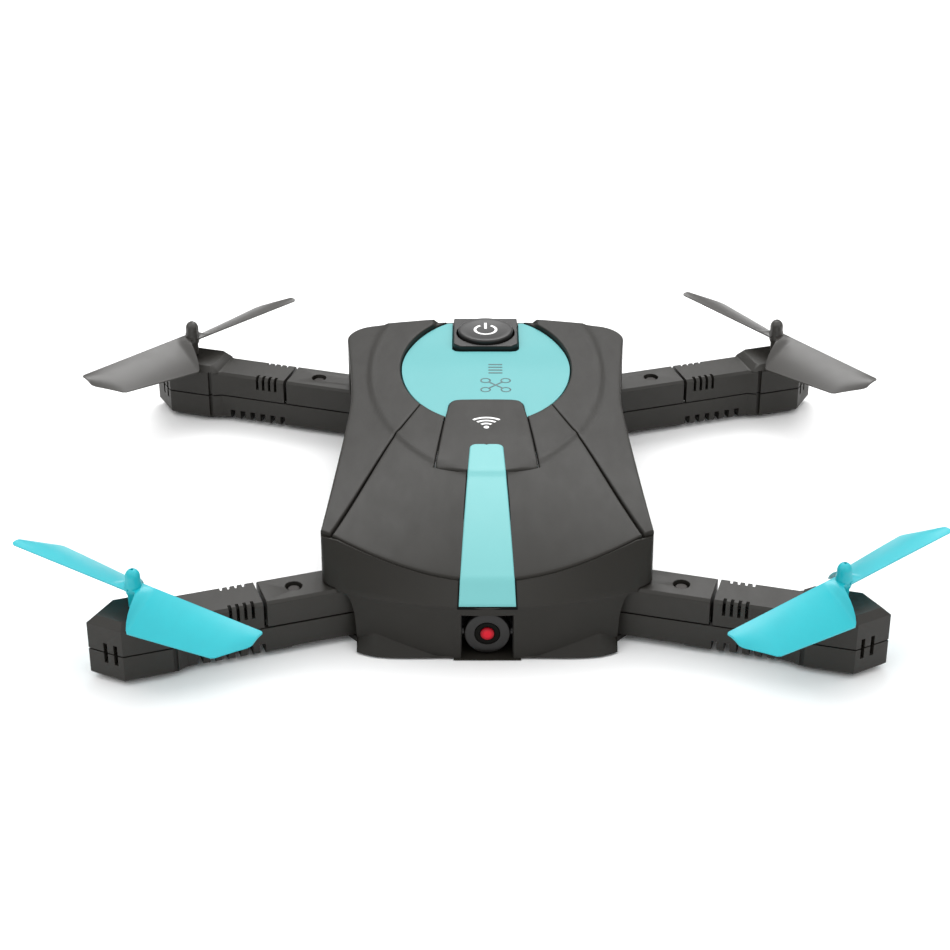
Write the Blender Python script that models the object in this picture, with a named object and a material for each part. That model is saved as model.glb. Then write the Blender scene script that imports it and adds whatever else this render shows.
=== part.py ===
"""Mini palm drone: a flat four-armed quadcopter whose arms fold in under its canopy.

Run with blender --background --python part.py. Sizes are in millimetres and every mesh is
turned into metres as it is made. +X is the drone's right, -Y its nose, +Z up, and the origin
is the middle of the belly, the plane that the drone stands on.
"""

from math import cos, pi, radians, sin, sqrt

import bpy
import numpy as np
from mathutils import Matrix

MM = 0.001

# ---------------------------------------------------------------- driving sizes
GAP = 0.3            # between pieces that meet
RUNNING = 0.06       # radial clearance of a shaft that turns in a bore
ROUND = 14           # sides of a small round piece
WALL = 1.6           # upright walls of the body
NOSE_WALL = 1.1      # thinner, to let a folded rear propeller pass
SKIN = 1.2           # canopy panels
HOOD_SKIN = 1.4      # hood and mode panel, which carry the strip in a channel

# canopy in plan
NOSE_CORNER_Y, NOSE_CORNER_X = -43.0, 34.0
SEAM_Y = -50.2              # where the hood ends on the middle line
WAIST_Y, WAIST_X = 12.0, 30.4
TAIL_Y, TAIL_X = 54.3, 32.8
TAIL_BOW = 4.3              # how far the tail edge curves forward towards its corners
CORNER_R = 5.0

# camera
CREASE_Y = -55.2            # the sharp edge along the top of the front wall
CAMERA_R, CAMERA_FRONT = 4.7, 1.4   # the disc, and how far its face is from the tilt axis
CAMERA_Y, CAMERA_Z = CREASE_Y + 3.2, CAMERA_R + 0.9
TRUNNION_R = 0.9
LENS_R = 1.4
NOTCH_X, NOTCH_TOP = CAMERA_R + 0.65, CAMERA_Z + CAMERA_R + 1.0
BALL_R = sqrt(CAMERA_R**2 + CAMERA_FRONT**2)
BRACKET_X, BRACKET_BACK = BALL_R + 1.4, CAMERA_Y + BALL_R + GAP + 1.0

# canopy heights
CROWN_Z = 26.0
CROWN_END_Y = -5.0          # the crown is level behind this and falls towards the nose
SEAM_Z = 16.5
SEAM_GAP, LIP = 0.5, 0.25   # from the hood to the nose band, and the band's thin upper edge
TONGUE_DROP = 1.1           # from under the canopy to the tongues
SHOULDER_Z, NOSE_SHOULDER_Z = CROWN_Z - 0.8, CROWN_Z - 2.0
CREASE_Z, CREASE_BOW = NOTCH_TOP + 1.5, 6.8
SILL_Z = 0.4                # lower edge of the upright walls
SILL_BACK, SILL_BOW = 0.7, 5.6   # the front wall's foot is straighter than its crease

# power button
BUTTON_R, BUTTON_PROUD = 6.5, 1.4
BUTTON_Y, BUTTON_TOP = TAIL_Y - BUTTON_R - 2.2, CROWN_Z + BUTTON_PROUD
BUTTON_TRAVEL = 0.5
PLATE_HALF, PLATE_TOP = BUTTON_R + 1.1, CROWN_Z + 0.5
SWITCH = 6.0

# arms
FRONT_PIVOT, FRONT_REACH = (28.0, NOSE_CORNER_Y + 0.2), 45.0
REAR_PIVOT, REAR_REACH = (16.4, TAIL_Y - 13.1), 57.6
ARM_ANGLES = {"front_left": 199.0, "front_right": -15.8, "rear_left": 163.0, "rear_right": 18.0}
ARM_WIDTH = 9.2
ARM_BOTTOM, ARM_TOP, PARTING = 0.9, 13.0, 7.0
ROOT_LIFT = 1.6             # underside of the arm where it lies over the tray
ARM_CHAMFER = 0.6
ARM_WALL = 1.4
GROOVE_BACK = 25.5          # from the hub to the cross groove
GROOVE = 0.7
SCREW_BACK = 7.2            # from the groove to the screw
POD_WIDTH = 11.6
POD_BACK, POD_SIDE, POD_TIP = 6.6, 4.2, 10.0   # from the hub to the pod's corners
POD_RISE, POD_CHAMFER = 1.4, 1.4
PIN_R, SPIGOT_R = 1.5, 1.0
MOTOR_R, MOTOR_BASE, MOTOR_TOP = 3.0, 1.4, 11.8
SHAFT_R = 0.5

# belly
FLOOR = 1.2
TRAY_FRONT = CREASE_Y + 4.9  # inside the foot of the front wall
TRAY_X = 29.5
SPINE_X = 9.3               # half width of the box that holds battery and board
BAY_FRONT, BAY_REAR = FRONT_PIVOT[1] + 8.8, REAR_PIVOT[1] - 6.2   # the arms fold into the bays between these
SPINE_TOP = 12.6
DECK_Z, DECK = 13.4, 0.9
RELIEF_X, BLADE_RELIEF = 2.2, (-18.0, -8.5)   # the deck is narrow where a folded blade hangs over it

# propellers
PROP_R = 32.0
BLADE_Z = 19.6              # height of the leading edge
BLADE = 0.8
DOME_R, DOME_TOP = 1.55, 23.5
PROP_LINES = {"front_left": -34.0, "front_right": 220.0, "rear_left": 224.6, "rear_right": -51.5}

SIDES = {"left": -1, "right": 1}


# ---------------------------------------------------------------- materials
def finish(name, colour, roughness, metallic=0.0, alpha=1.0):
    material = bpy.data.materials.new(name)
    material.use_nodes = True
    shader = material.node_tree.nodes["Principled BSDF"]
    shader.inputs["Base Color"].default_value = (*colour, 1.0)
    shader.inputs["Roughness"].default_value = roughness
    shader.inputs["Metallic"].default_value = metallic
    shader.inputs["Alpha"].default_value = alpha
    return material


for startup_object in list(bpy.data.objects):
    bpy.data.objects.remove(startup_object, do_unlink=True)

BLACK = finish("body_black", (0.032, 0.030, 0.027), 0.45)
TRIM_BLACK = finish("trim_black", (0.012, 0.012, 0.012), 0.35)
TEAL = finish("panel_teal", (0.22, 0.68, 0.70), 0.35)
PROP_TEAL = finish("propeller_teal", (0.03, 0.58, 0.66), 0.25)
PROP_GREY = finish("propeller_grey", (0.055, 0.052, 0.050), 0.35)
STEEL = finish("steel", (0.55, 0.55, 0.56), 0.30, 1.0)
LENS_RED = finish("lens_red", (0.60, 0.01, 0.03), 0.08)
BOARD_GREEN = finish("board_green", (0.02, 0.12, 0.05), 0.50)
FOIL = finish("battery_foil", (0.62, 0.62, 0.64), 0.35, 0.8)


# ---------------------------------------------------------------- mesh helpers
def solid(name, points, faces, material=None):
    """A mesh object from points in millimetres."""
    mesh = bpy.data.meshes.new(name)
    mesh.from_pydata([tuple(MM * float(c) for c in p) for p in points], [], faces)
    mesh.update()
    if material:
        mesh.materials.append(material)
    obj = bpy.data.objects.new(name, mesh)
    bpy.context.scene.collection.objects.link(obj)
    return obj


def layers(name, stack, material=None):
    """A closed solid through outlines of equal length, each (z, outline), from low to high."""
    count = len(stack[0][1])
    points = [(x, y, z) for z, outline in stack for x, y in outline]
    faces = [tuple(reversed(range(count)))]
    for k in range(len(stack) - 1):
        low, high = k * count, (k + 1) * count
        faces += [
            (low + i, low + (i + 1) % count, high + (i + 1) % count, high + i)
            for i in range(count)
        ]
    top = (len(stack) - 1) * count
    faces.append(tuple(top + i for i in range(count)))
    return solid(name, points, faces, material)


def prism(name, outline, low, high, material=None):
    return layers(name, [(low, outline), (high, outline)], material)


def box(name, x, y, z, material=None):
    return prism(name, [(x[0], y[0]), (x[1], y[0]), (x[1], y[1]), (x[0], y[1])], *z, material)


def circle(radius, centre=(0.0, 0.0), sides=ROUND):
    return [
        (centre[0] + radius * cos(2 * pi * i / sides), centre[1] + radius * sin(2 * pi * i / sides))
        for i in range(sides)
    ]


def turned(name, profile, centre=(0.0, 0.0), material=None, sides=ROUND):
    """A turned solid about an upright axis from (radius, z) pairs, low to high."""
    return layers(name, [(z, circle(r, centre, sides)) for r, z in profile], material)


def sheet_solid(name, upper, lower, material=None):
    """A closed plate between two grids of points of the same shape."""
    upper, lower = np.asarray(upper, float), np.asarray(lower, float)
    rows, columns = upper.shape[:2]
    points = np.concatenate([upper.reshape(-1, 3), lower.reshape(-1, 3)])
    step = rows * columns
    faces = []
    for i in range(rows - 1):
        for j in range(columns - 1):
            a, b = i * columns + j, (i + 1) * columns + j
            faces.append((a, b, b + 1, a + 1))
            faces.append((step + a, step + a + 1, step + b + 1, step + b))
    rim = [j for j in range(columns)]
    rim += [i * columns + columns - 1 for i in range(1, rows)]
    rim += [(rows - 1) * columns + j for j in range(columns - 2, -1, -1)]
    rim += [i * columns for i in range(rows - 2, 0, -1)]
    faces += [
        (a, b, step + b, step + a) for a, b in zip(rim, rim[1:] + rim[:1], strict=True)
    ]
    return solid(name, points, faces, material)


def apply_modifiers(obj):
    bpy.context.view_layer.update()
    graph = bpy.context.evaluated_depsgraph_get()
    made = bpy.data.meshes.new_from_object(obj.evaluated_get(graph))
    obj.modifiers.clear()
    plain, obj.data = obj.data, made
    bpy.data.meshes.remove(plain)


def boolean(obj, others, operation, solver="EXACT"):
    for other in others:
        step = obj.modifiers.new(operation.title(), "BOOLEAN")
        step.operation, step.solver, step.object = operation, solver, other
    apply_modifiers(obj)
    for other in others:
        bpy.data.objects.remove(other, do_unlink=True)
    return obj


def cut(obj, *cutters, solver="EXACT"):
    return boolean(obj, cutters, "DIFFERENCE", solver)


def join(obj, *pieces):
    return boolean(obj, pieces, "UNION")


def keep(obj, *pieces):
    return boolean(obj, pieces, "INTERSECT")


def shade(obj, degrees=32):
    obj.data.shade_smooth()
    obj.data.set_sharp_from_angle(angle=radians(degrees))
    return obj


def finished(obj, name, material, parent=None):
    """Gives a piece its name, its one material and its parent."""
    obj.name = obj.data.name = name
    obj.data.materials.clear()
    obj.data.materials.append(material)
    obj.parent = parent
    return shade(obj)


def axis_empty(name, place, turn=0.0):
    empty = bpy.data.objects.new(name, None)
    empty.location = [MM * c for c in place]
    empty.rotation_euler[2] = turn
    bpy.context.scene.collection.objects.link(empty)
    return empty


# ---------------------------------------------------------------- canopy form
def half_width(y):
    """Side line of the canopy: a waist that widens to the nose and to the tail."""
    if y < WAIST_Y:
        return WAIST_X + (NOSE_CORNER_X - WAIST_X) * ((WAIST_Y - y) / (WAIST_Y - NOSE_CORNER_Y)) ** 1.3
    tail_side = TAIL_Y - TAIL_BOW - CORNER_R
    return WAIST_X + (TAIL_X - WAIST_X) * ((y - WAIST_Y) / (tail_side - WAIST_Y)) ** 1.3


def seam_y(x):
    """Front edge of the hood, an arc between the nose corners."""
    return SEAM_Y + (NOSE_CORNER_Y - SEAM_Y) * (abs(x) / NOSE_CORNER_X) ** 2


def tail_y(x):
    """Tail edge, bowed and rounded into the sides."""
    bow = TAIL_Y - TAIL_BOW * (abs(x) / TAIL_X) ** 2
    into = min(max(abs(x) - (TAIL_X - CORNER_R), 0.0), CORNER_R)
    return bow - (CORNER_R - sqrt(CORNER_R**2 - into**2))


def crown(y):
    fall = max(CROWN_END_Y - y, 0.0) / (CROWN_END_Y - SEAM_Y)
    return CROWN_Z - (CROWN_Z - SEAM_Z) * fall**1.8


def shoulder(y):
    fall = max(CROWN_END_Y - y, 0.0) / (CROWN_END_Y - NOSE_CORNER_Y)
    return SHOULDER_Z - (SHOULDER_Z - NOSE_SHOULDER_Z) * fall**2


def canopy_z(x, y):
    """Height of the canopy: the crown line, blended out to the shoulders with x squared."""
    return crown(y) + (shoulder(y) - crown(y)) * min(abs(x) / NOSE_CORNER_X, 1.0) ** 2


def canopy_slab(name, thickness=SKIN, columns=19, rows=22):
    """The whole canopy as one curved plate."""
    upper = []
    for v in np.linspace(0.0, 1.0, rows):
        line = []
        for turn in np.linspace(-0.5 * pi, 0.5 * pi, columns):
            u = 0.35 * sin(turn) + 0.65 * 2.0 * turn / pi
            nose, tail = seam_y(u * NOSE_CORNER_X), tail_y(u * TAIL_X)
            y = nose + v * (tail - nose)
            x = u * half_width(max(y, NOSE_CORNER_Y))
            line.append((x, y, canopy_z(x, y)))
        upper.append(line)
    upper = np.array(upper).transpose(1, 0, 2)
    return sheet_solid(name, upper, upper - (0.0, 0.0, thickness))


def mirrored(right_half):
    """An outline from its right half, listed from front to back."""
    return right_half + [(-x, y) for x, y in reversed(right_half)]


def grown(outline, margin):
    """An outline moved outwards by margin, corner by corner."""
    ring = np.array(outline, float)
    before, after = np.roll(ring, 1, axis=0), np.roll(ring, -1, axis=0)
    one, two = ring - before, after - ring
    one /= np.linalg.norm(one, axis=1, keepdims=True)
    two /= np.linalg.norm(two, axis=1, keepdims=True)
    normal = np.stack([one[:, 1] + two[:, 1], -one[:, 0] - two[:, 0]], axis=1)
    normal /= np.linalg.norm(normal, axis=1, keepdims=True)
    facing = normal[:, 0] * one[:, 1] - normal[:, 1] * one[:, 0]
    return [tuple(p) for p in ring + normal * (margin / np.maximum(facing, 0.4))[:, None]]


# the teal cover: an ellipse cut off by the tail
COVER_X, COVER_LENGTH = 19.4, (TAIL_Y + 2.7) / 2
COVER_OUTLINE = [
    (COVER_X * sin(a), COVER_LENGTH * (1.0 - cos(a))) for a in np.linspace(0, 2 * pi, 37)[:-1]
]
# the black panel in front of it
PANEL_REAR_Y, PANEL_SHOULDER_Y, PANEL_FRONT_Y = 11.0, 2.0, -18.5
PANEL_HALF = mirrored(
    [(0.0, PANEL_FRONT_Y - 1.8), (5.8, PANEL_FRONT_Y - 1.3), (11.0, PANEL_FRONT_Y),
     (9.2, PANEL_SHOULDER_Y), (8.2, PANEL_REAR_Y - 2.2), (7.0, PANEL_REAR_Y - 0.4),
     (5.6, PANEL_REAR_Y)]
)[:-1]
# the hood: from the nose arc back along the diagonal seams to the teal cover
HOOD_REAR = [(19.4, -4.3), (14.6, 8.0), (14.0, 14.0)]
HOOD_OUTLINE = mirrored(
    [(x, seam_y(x) - 4.0) for x in (0.0, 10.0, 20.0, 28.0)] + [(31.6, -47.0), (31.5, -43.0)] + HOOD_REAR
)[:-1]
# the teal strip along the middle line
STRIP_REAR_Y, STRIP_REAR_X, STRIP_NOSE_X = -10.5, 3.65, 5.8
STRIP, STRIP_PROUD = 0.6, 0.1


def strip_outline(margin):
    nose = CREASE_Y - 0.1 - margin
    return mirrored(
        [(STRIP_NOSE_X + margin, nose), (STRIP_REAR_X + margin, STRIP_REAR_Y - 1.2),
         (STRIP_REAR_X - 1.2, STRIP_REAR_Y + margin)]
    )


def strip_z(y):
    """The strip follows the crown and then the slope of the nose band."""
    if y >= SEAM_Y:
        return crown(y)
    return SEAM_Z + (CREASE_Z - SEAM_Z) * (SEAM_Y - y) / (SEAM_Y - CREASE_Y)


def strip_slab(name, above, below, wide=STRIP_NOSE_X + 2.0):
    upper = [
        [(x, y, strip_z(y) + above) for y in np.linspace(CREASE_Y - 1.5, STRIP_REAR_Y + 1.5, 26)]
        for x in (-wide, wide)
    ]
    return sheet_solid(name, upper, np.array(upper) - (0.0, 0.0, above + below))


def cover_cutter(margin):
    return prism("cutter", grown(COVER_OUTLINE, margin), 5.0, 40.0)


def panel_cutter(margin):
    return prism("cutter", grown(PANEL_HALF, margin), 5.0, 40.0)


def strip_channel():
    """What the strip takes out of the pieces under it."""
    channel = strip_slab("cutter", 6.0, STRIP + GAP)
    return keep(channel, prism("cutter", strip_outline(GAP), 2.0, 40.0))


# ---------------------------------------------------------------- canopy pieces
def plate_outline(margin, back=TAIL_Y - 0.9):
    half, chamfer = PLATE_HALF + margin, 1.6
    front = BUTTON_Y - PLATE_HALF + 0.1 - margin
    return mirrored([(half - chamfer, front), (half, front + chamfer), (half, back)])


def arm_passage(kind, top):
    """The space under the canopy's corner that the arm swings through."""
    pivot = FRONT_PIVOT if kind == "front" else REAR_PIVOT
    sign = -1.0 if kind == "front" else 1.0
    turn = radians(19.3)
    clear = ARM_WIDTH / 2 + 0.5
    start = np.array([pivot[0] - clear * sin(turn), pivot[1] + sign * clear * cos(turn)])
    far = start + 34.0 * np.array([cos(turn), sign * sin(turn)])
    inner = [(pivot[0] - 9.0, start[1] - sign * 1.5), tuple(start), tuple(far)]
    bay = BAY_FRONT + 4.0 if kind == "front" else BAY_REAR - 6.0
    outline = inner + [(far[0], bay), (pivot[0] - 9.0, bay)]
    if sign > 0:
        outline.reverse()
    right = prism("cutter", outline, -2.0, top)
    left = prism("cutter", [(-x, y) for x, y in reversed(outline)], -2.0, top)
    return [right, left]


def wall_band(name, rails, thick=WALL, lip=None):
    """An upright wall inside rails, each a line of (x, y, z) from left to right, top rail first.

    lip gives the wall's thickness along its top rail where it is thinner than thick."""
    outer = np.array(rails)
    run = np.gradient(outer[1], axis=0)[:, :2]
    inward = np.stack([-run[:, 1], run[:, 0]], axis=1)
    inward /= np.linalg.norm(inward, axis=1, keepdims=True)
    middle = len(inward) // 2
    if inward[middle, 1] * outer[1, middle, 1] > 0:
        inward = -inward
    inner = outer.copy()
    inner[:, :, :2] += thick * inward
    if lip is not None:
        inner[0, :, :2] = outer[0, :, :2] + np.array(lip)[:, None] * inward
    wall = sheet_solid(name, outer, inner)
    if signed_volume(wall) < 0:
        wall.data.flip_normals()
    return wall


def signed_volume(obj):
    """Signed volume of a closed mesh: negative when it is inside out."""
    total = 0.0
    for face in obj.data.polygons:
        corners = [obj.data.vertices[i].co for i in face.vertices]
        for one, two in zip(corners[1:], corners[2:]):
            total += corners[0].dot(one.cross(two))
    return total


def make_nose_shell():
    """The band under the hood's arc seam, the front wall and the corner tongues over the arms."""
    top, crease, sill, lip = [], [], [], []
    tongue = BAY_FRONT - 3.5
    sides = [(0.0, tongue), (0.0, NOSE_CORNER_Y + 2.0), (-0.9, NOSE_CORNER_Y - 0.9)]
    lower = [(0.0, tongue), (0.1, NOSE_CORNER_Y + 0.8), (-0.9, NOSE_CORNER_Y - 3.4)]
    for (dx, y), (lower_dx, lower_y) in zip(sides, lower, strict=True):
        x = half_width(max(y, NOSE_CORNER_Y)) + dx
        top.append((x, y, canopy_z(x, y) - SKIN - TONGUE_DROP))
        lip.append(NOSE_WALL if y > NOSE_CORNER_Y else LIP)
        below = half_width(max(lower_y, NOSE_CORNER_Y)) + lower_dx
        crease.append((below, lower_y, CREASE_Z + 0.6))
        sill.append((below, lower_y, SILL_Z))
    reach = NOSE_CORNER_X - 3.0
    for t in np.linspace(1.0, 0.0, 10):
        x = reach * t
        top.append((x, seam_y(x) - SEAM_GAP, canopy_z(x, seam_y(x))))
        lip.append(LIP)
        crease.append((x * 1.01, CREASE_Y + CREASE_BOW * t**2, CREASE_Z))
        sill.append((x * 1.01, CREASE_Y + SILL_BACK + SILL_BOW * t**6, SILL_Z))
    rails = []
    for rail in (top, crease, sill):
        rails.append([(-x, y, z) for x, y, z in rail[:-1]] + list(reversed(rail)))
    shell = wall_band("nose", rails, NOSE_WALL, lip + lip[-2::-1])
    cut(shell, *arm_passage("front", ARM_TOP + GAP), solver="MANIFOLD")
    inside = CAMERA_Y - CAMERA_FRONT - 0.5
    cut(
        shell,
        box("cutter", (-NOTCH_X, NOTCH_X), (CREASE_Y - 5, inside + 9), (-5.0, NOTCH_TOP)),
        box("cutter", (-BRACKET_X - 0.65, BRACKET_X + 0.65), (inside, inside + 9), (-5.0, NOTCH_TOP + 0.4)),
        strip_channel(),
        solver="MANIFOLD",
    )
    for side in SIDES.values():
        low, high = (side * 26.0, SILL_Z - 0.5), (side * 31.5, 3.6)
        outline = [(side * 60.0, -6.0), (low[0], -6.0), low, high, (side * 60.0, high[1])]
        corner = prism("cutter", outline[::-side], 0.0, 75.0)
        corner.data.transform(Matrix.Rotation(radians(90), 4, "X"))
        cut(shell, corner, solver="MANIFOLD")
    return shell


def make_upper_shell():
    """The two wings and the tail wall that ties them together, with the tongues over the rear arms."""
    shell = canopy_slab("wings")
    nose = prism("cutter", grown(HOOD_OUTLINE, GAP / 2), 5.0, 40.0)
    cut(shell, nose, cover_cutter(GAP / 2))
    line = [(half_width(y), y) for y in np.linspace(BAY_REAR + 4.0, TAIL_Y - TAIL_BOW - CORNER_R, 3)]
    line += [(x, tail_y(x)) for x in (TAIL_X - 0.5, TAIL_X - 1.6, TAIL_X - 3.2, TAIL_X - CORNER_R, 22, 16.5)]
    line += [(x, tail_y(x)) for x in (14.0, PLATE_HALF + 1.0, PLATE_HALF + 0.8, 0.0)]
    top = []
    for x, y in line:
        under = 0.5 if x > 15.0 else SKIN + GAP + 0.2
        if x < PLATE_HALF + 0.9:
            under = SKIN + 2.2
        top.append((x - 0.05, y - 0.05, canopy_z(x, y) - under))
    rails = []
    for height in (None, SILL_Z):
        rail = [(x, y, z if height is None else height) for x, y, z in top]
        rails.append(rail[:-1] + [(-x, y, z) for x, y, z in reversed(rail)])
    wall = wall_band("tail", rails)
    cut(wall, *arm_passage("rear", ARM_TOP + GAP))
    return join(shell, wall)


def make_canopy():
    upper = make_upper_shell()
    finished(upper, "upper_shell", BLACK)
    finished(make_nose_shell(), "nose_shell", BLACK)

    hood_cutter = prism("cutter", grown(HOOD_OUTLINE, -GAP / 2), 5.0, 40.0)
    hood = keep(canopy_slab("hood", thickness=HOOD_SKIN), hood_cutter)
    cut(hood, cover_cutter(GAP / 2), panel_cutter(GAP / 2), strip_channel())
    finished(hood, "hood_panel", BLACK)

    panel = keep(canopy_slab("panel", thickness=HOOD_SKIN), panel_cutter(-GAP / 2))
    finished(cut(panel, strip_channel()), "mode_panel", BLACK)

    cover = keep(canopy_slab("cover"), cover_cutter(-GAP / 2))
    cut(cover, panel_cutter(GAP / 2), prism("cutter", plate_outline(GAP, TAIL_Y + 1.0), 5.0, 40.0))
    finished(cover, "rear_cover", TEAL)

    strip = strip_slab("strip", STRIP_PROUD, STRIP)
    finished(keep(strip, prism("cutter", strip_outline(0.0), 2.0, 40.0)), "centre_strip", TEAL)


# ---------------------------------------------------------------- power button
def make_power_button():
    under = CROWN_Z - SKIN - 0.4
    plate = prism("plate", plate_outline(0.0), under, PLATE_TOP)
    well = turned("cutter", [(BUTTON_R + GAP, under - 2.0), (BUTTON_R + GAP, PLATE_TOP + 2.0)],
                  (0.0, BUTTON_Y), sides=28)
    finished(cut(plate, well), "power_plate", TRIM_BLACK)

    flange_r = BUTTON_R + GAP + 0.4
    flange_top = under - 0.4
    stem_low = DECK_Z + DECK + 4.9
    centre = axis_empty("power_button_axis", (0.0, BUTTON_Y, BUTTON_TOP))
    cap = turned(
        "cap",
        [(1.4, stem_low - BUTTON_TOP), (1.4, flange_top - 0.8 - BUTTON_TOP),
         (flange_r, flange_top - 0.8 - BUTTON_TOP), (flange_r, flange_top - BUTTON_TOP),
         (BUTTON_R, flange_top - BUTTON_TOP), (BUTTON_R, -0.5), (BUTTON_R - 0.5, 0.0)],
        sides=28,
    )
    finished(cap, "power_button", TRIM_BLACK, centre)

    base = DECK_Z + DECK + GAP
    body = box("switch", (-SWITCH / 2, SWITCH / 2), (BUTTON_Y - SWITCH / 2, BUTTON_Y + SWITCH / 2),
               (base, base + 3.1))
    plunger = turned("plunger", [(1.6, base + 3.0), (1.6, stem_low - BUTTON_TRAVEL - 0.1)], (0.0, BUTTON_Y))
    finished(join(body, plunger), "power_switch", TRIM_BLACK)


# ---------------------------------------------------------------- belly and insides
def dumbbell(front, front_x, margin, rear_x, waist_x):
    """A plate outline that is wide at both ends and narrow between the arm bays.

    The rear edge keeps margin inside the tail wall."""
    inside = WALL + GAP + margin
    rear = [(x, tail_y(x) - inside) for x in (0.9 * rear_x, 0.7 * rear_x, 0.35 * rear_x)]
    return mirrored(
        [(front_x - 4.5, front), (front_x, front + 5.5), (front_x, BAY_FRONT), (waist_x, BAY_FRONT),
         (waist_x, BAY_REAR), (rear_x, BAY_REAR), (rear_x, rear[0][1] - 3.5), *rear]
    )


DOOR = {"x": 6.6, "front": 6.0, "rear": BAY_REAR - 2.0}
POST_X, POST_IN = {"front": 15.0, "rear": 6.5}, 5.3
POSTS = [(side * POST_X["front"], TRAY_FRONT + POST_IN) for side in (1, -1)]
POSTS += [(side * POST_X["rear"], TAIL_Y - POST_IN) for side in (1, -1)]
POST_R, POST_HOLE_R = 2.3, 1.1
BELLY_SCREW_R, BELLY_HEAD_R, BELLY_HEAD = 0.8, 1.7, 0.7
PIVOTS = [
    (side * x, y) for x, y in (FRONT_PIVOT, REAR_PIVOT) for side in SIDES.values()
]


def make_belly():
    tray = prism("tray", dumbbell(TRAY_FRONT, TRAY_X, 0.1, TRAY_X - 1.5, SPINE_X), 0.0, FLOOR)
    spine = box("spine", (-SPINE_X, SPINE_X), (BAY_FRONT + 0.5, BAY_REAR - 0.5), (0.5, SPINE_TOP))
    hollow = box("cutter", (-SPINE_X + FLOOR, SPINE_X - FLOOR),
                 (BAY_FRONT + 0.5 + FLOOR, BAY_REAR - 0.5 - FLOOR), (FLOOR, SPINE_TOP + 1.0))
    join(tray, spine)
    door_hole = box("cutter", (-DOOR["x"] - GAP, DOOR["x"] + GAP),
                    (DOOR["front"] - GAP, DOOR["rear"] + GAP), (-1.0, FLOOR + 1.0))
    cutters = [hollow, door_hole]
    cutters += [turned("cutter", [(SPIGOT_R + GAP, -1.0), (SPIGOT_R + GAP, FLOOR + 1.0)], p) for p in PIVOTS]
    cutters += [turned("cutter", [(POST_HOLE_R, 0.5), (POST_HOLE_R, FLOOR + 1.0)], p) for p in POSTS]
    cutters += [turned("cutter", [(BELLY_HEAD_R + GAP, -1.0), (BELLY_HEAD_R + GAP, 0.8)], p) for p in POSTS]
    slot_x = BRACKET_X + 0.75
    camera_slot = box("cutter", (-slot_x, slot_x), (CREASE_Y - 5.0, BRACKET_BACK + 1.8), (-1.0, FLOOR + 1.0))
    finished(cut(tray, *cutters, camera_slot), "belly_tray", BLACK)

    door = box("door", (-DOOR["x"], DOOR["x"]), (DOOR["front"], DOOR["rear"]), (0.0, FLOOR))
    pull = box("cutter", (-3.0, 3.0), (DOOR["rear"] - 2.6, DOOR["rear"] - 1.4), (-1.0, 0.5))
    finished(cut(door, pull), "battery_door", BLACK)

    inside = SPINE_X - FLOOR - GAP
    cell_rear = BAY_REAR - FLOOR - 0.6
    narrow = mirrored([(inside - 0.9, -2.0), (inside - 0.9, cell_rear - 0.2)])
    wide = mirrored([(inside, -3.0), (inside, cell_rear)])
    heights = [FLOOR + GAP + rise for rise in (0.0, 0.9, 6.1, 7.0)]
    cell = layers("cell", list(zip(heights, (narrow, wide, wide, narrow), strict=True)))
    finished(cell, "battery", FOIL)

    board = box("board", (-inside, inside), (BAY_FRONT + 2.4, BAY_REAR - 3.0), (10.0, 11.0))
    chips = [box("chip", (-3.4, 3.4), (y, y + 6.0), (10.9, 11.9)) for y in (-24.0, -8.0, 12.0)]
    finished(join(board, *chips), "main_board", BOARD_GREEN)

    deck_outline = dumbbell(TRAY_FRONT + 2.7, TRAY_X - 1.0, 0.6, TRAY_X - 4.0, SPINE_X)
    deck = prism("deck", deck_outline, DECK_Z, DECK_Z + DECK)
    slot_x = BRACKET_X + 1.25
    front_gap = box("cutter", (-slot_x, slot_x), (CREASE_Y - 5.0, BRACKET_BACK + 0.8), (0.0, 30.0))
    posts = [turned("post", [(POST_R, FLOOR + GAP), (POST_R, DECK_Z + 0.4)], p) for p in POSTS]
    join(deck, *posts)
    bores = [turned("cutter", [(POST_HOLE_R, 0.0), (POST_HOLE_R, 9.0)], p) for p in POSTS]
    bores += [turned("cutter", [(SPIGOT_R + GAP, DECK_Z - 1.0), (SPIGOT_R + GAP, DECK_Z + 2.0)], p)
              for p in PIVOTS]
    reliefs = [
        box("cutter", sorted((side * RELIEF_X, side * (SPINE_X + 1.0))), BLADE_RELIEF,
            (DECK_Z - 1.0, DECK_Z + 2.0))
        for side in SIDES.values()
    ]
    finished(cut(deck, front_gap, *bores, *reliefs), "inner_deck", BLACK)

    for number, place in enumerate(POSTS, 1):
        screw = turned("screw", [(BELLY_HEAD_R, 0.1), (BELLY_HEAD_R, 0.1 + BELLY_HEAD - GAP),
                                 (BELLY_SCREW_R, 0.1 + BELLY_HEAD - GAP), (BELLY_SCREW_R, 8.0)], place)
        finished(screw, f"belly_screw_{number}", STEEL)


# ---------------------------------------------------------------- camera
def laid_forward(obj, place):
    """Turns a piece made about +Z so that +Z looks forward, along -Y, and moves it to its place."""
    obj.data.transform(Matrix.Translation([MM * c for c in place]) @ Matrix.Rotation(radians(90), 4, "X"))
    return obj


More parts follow.
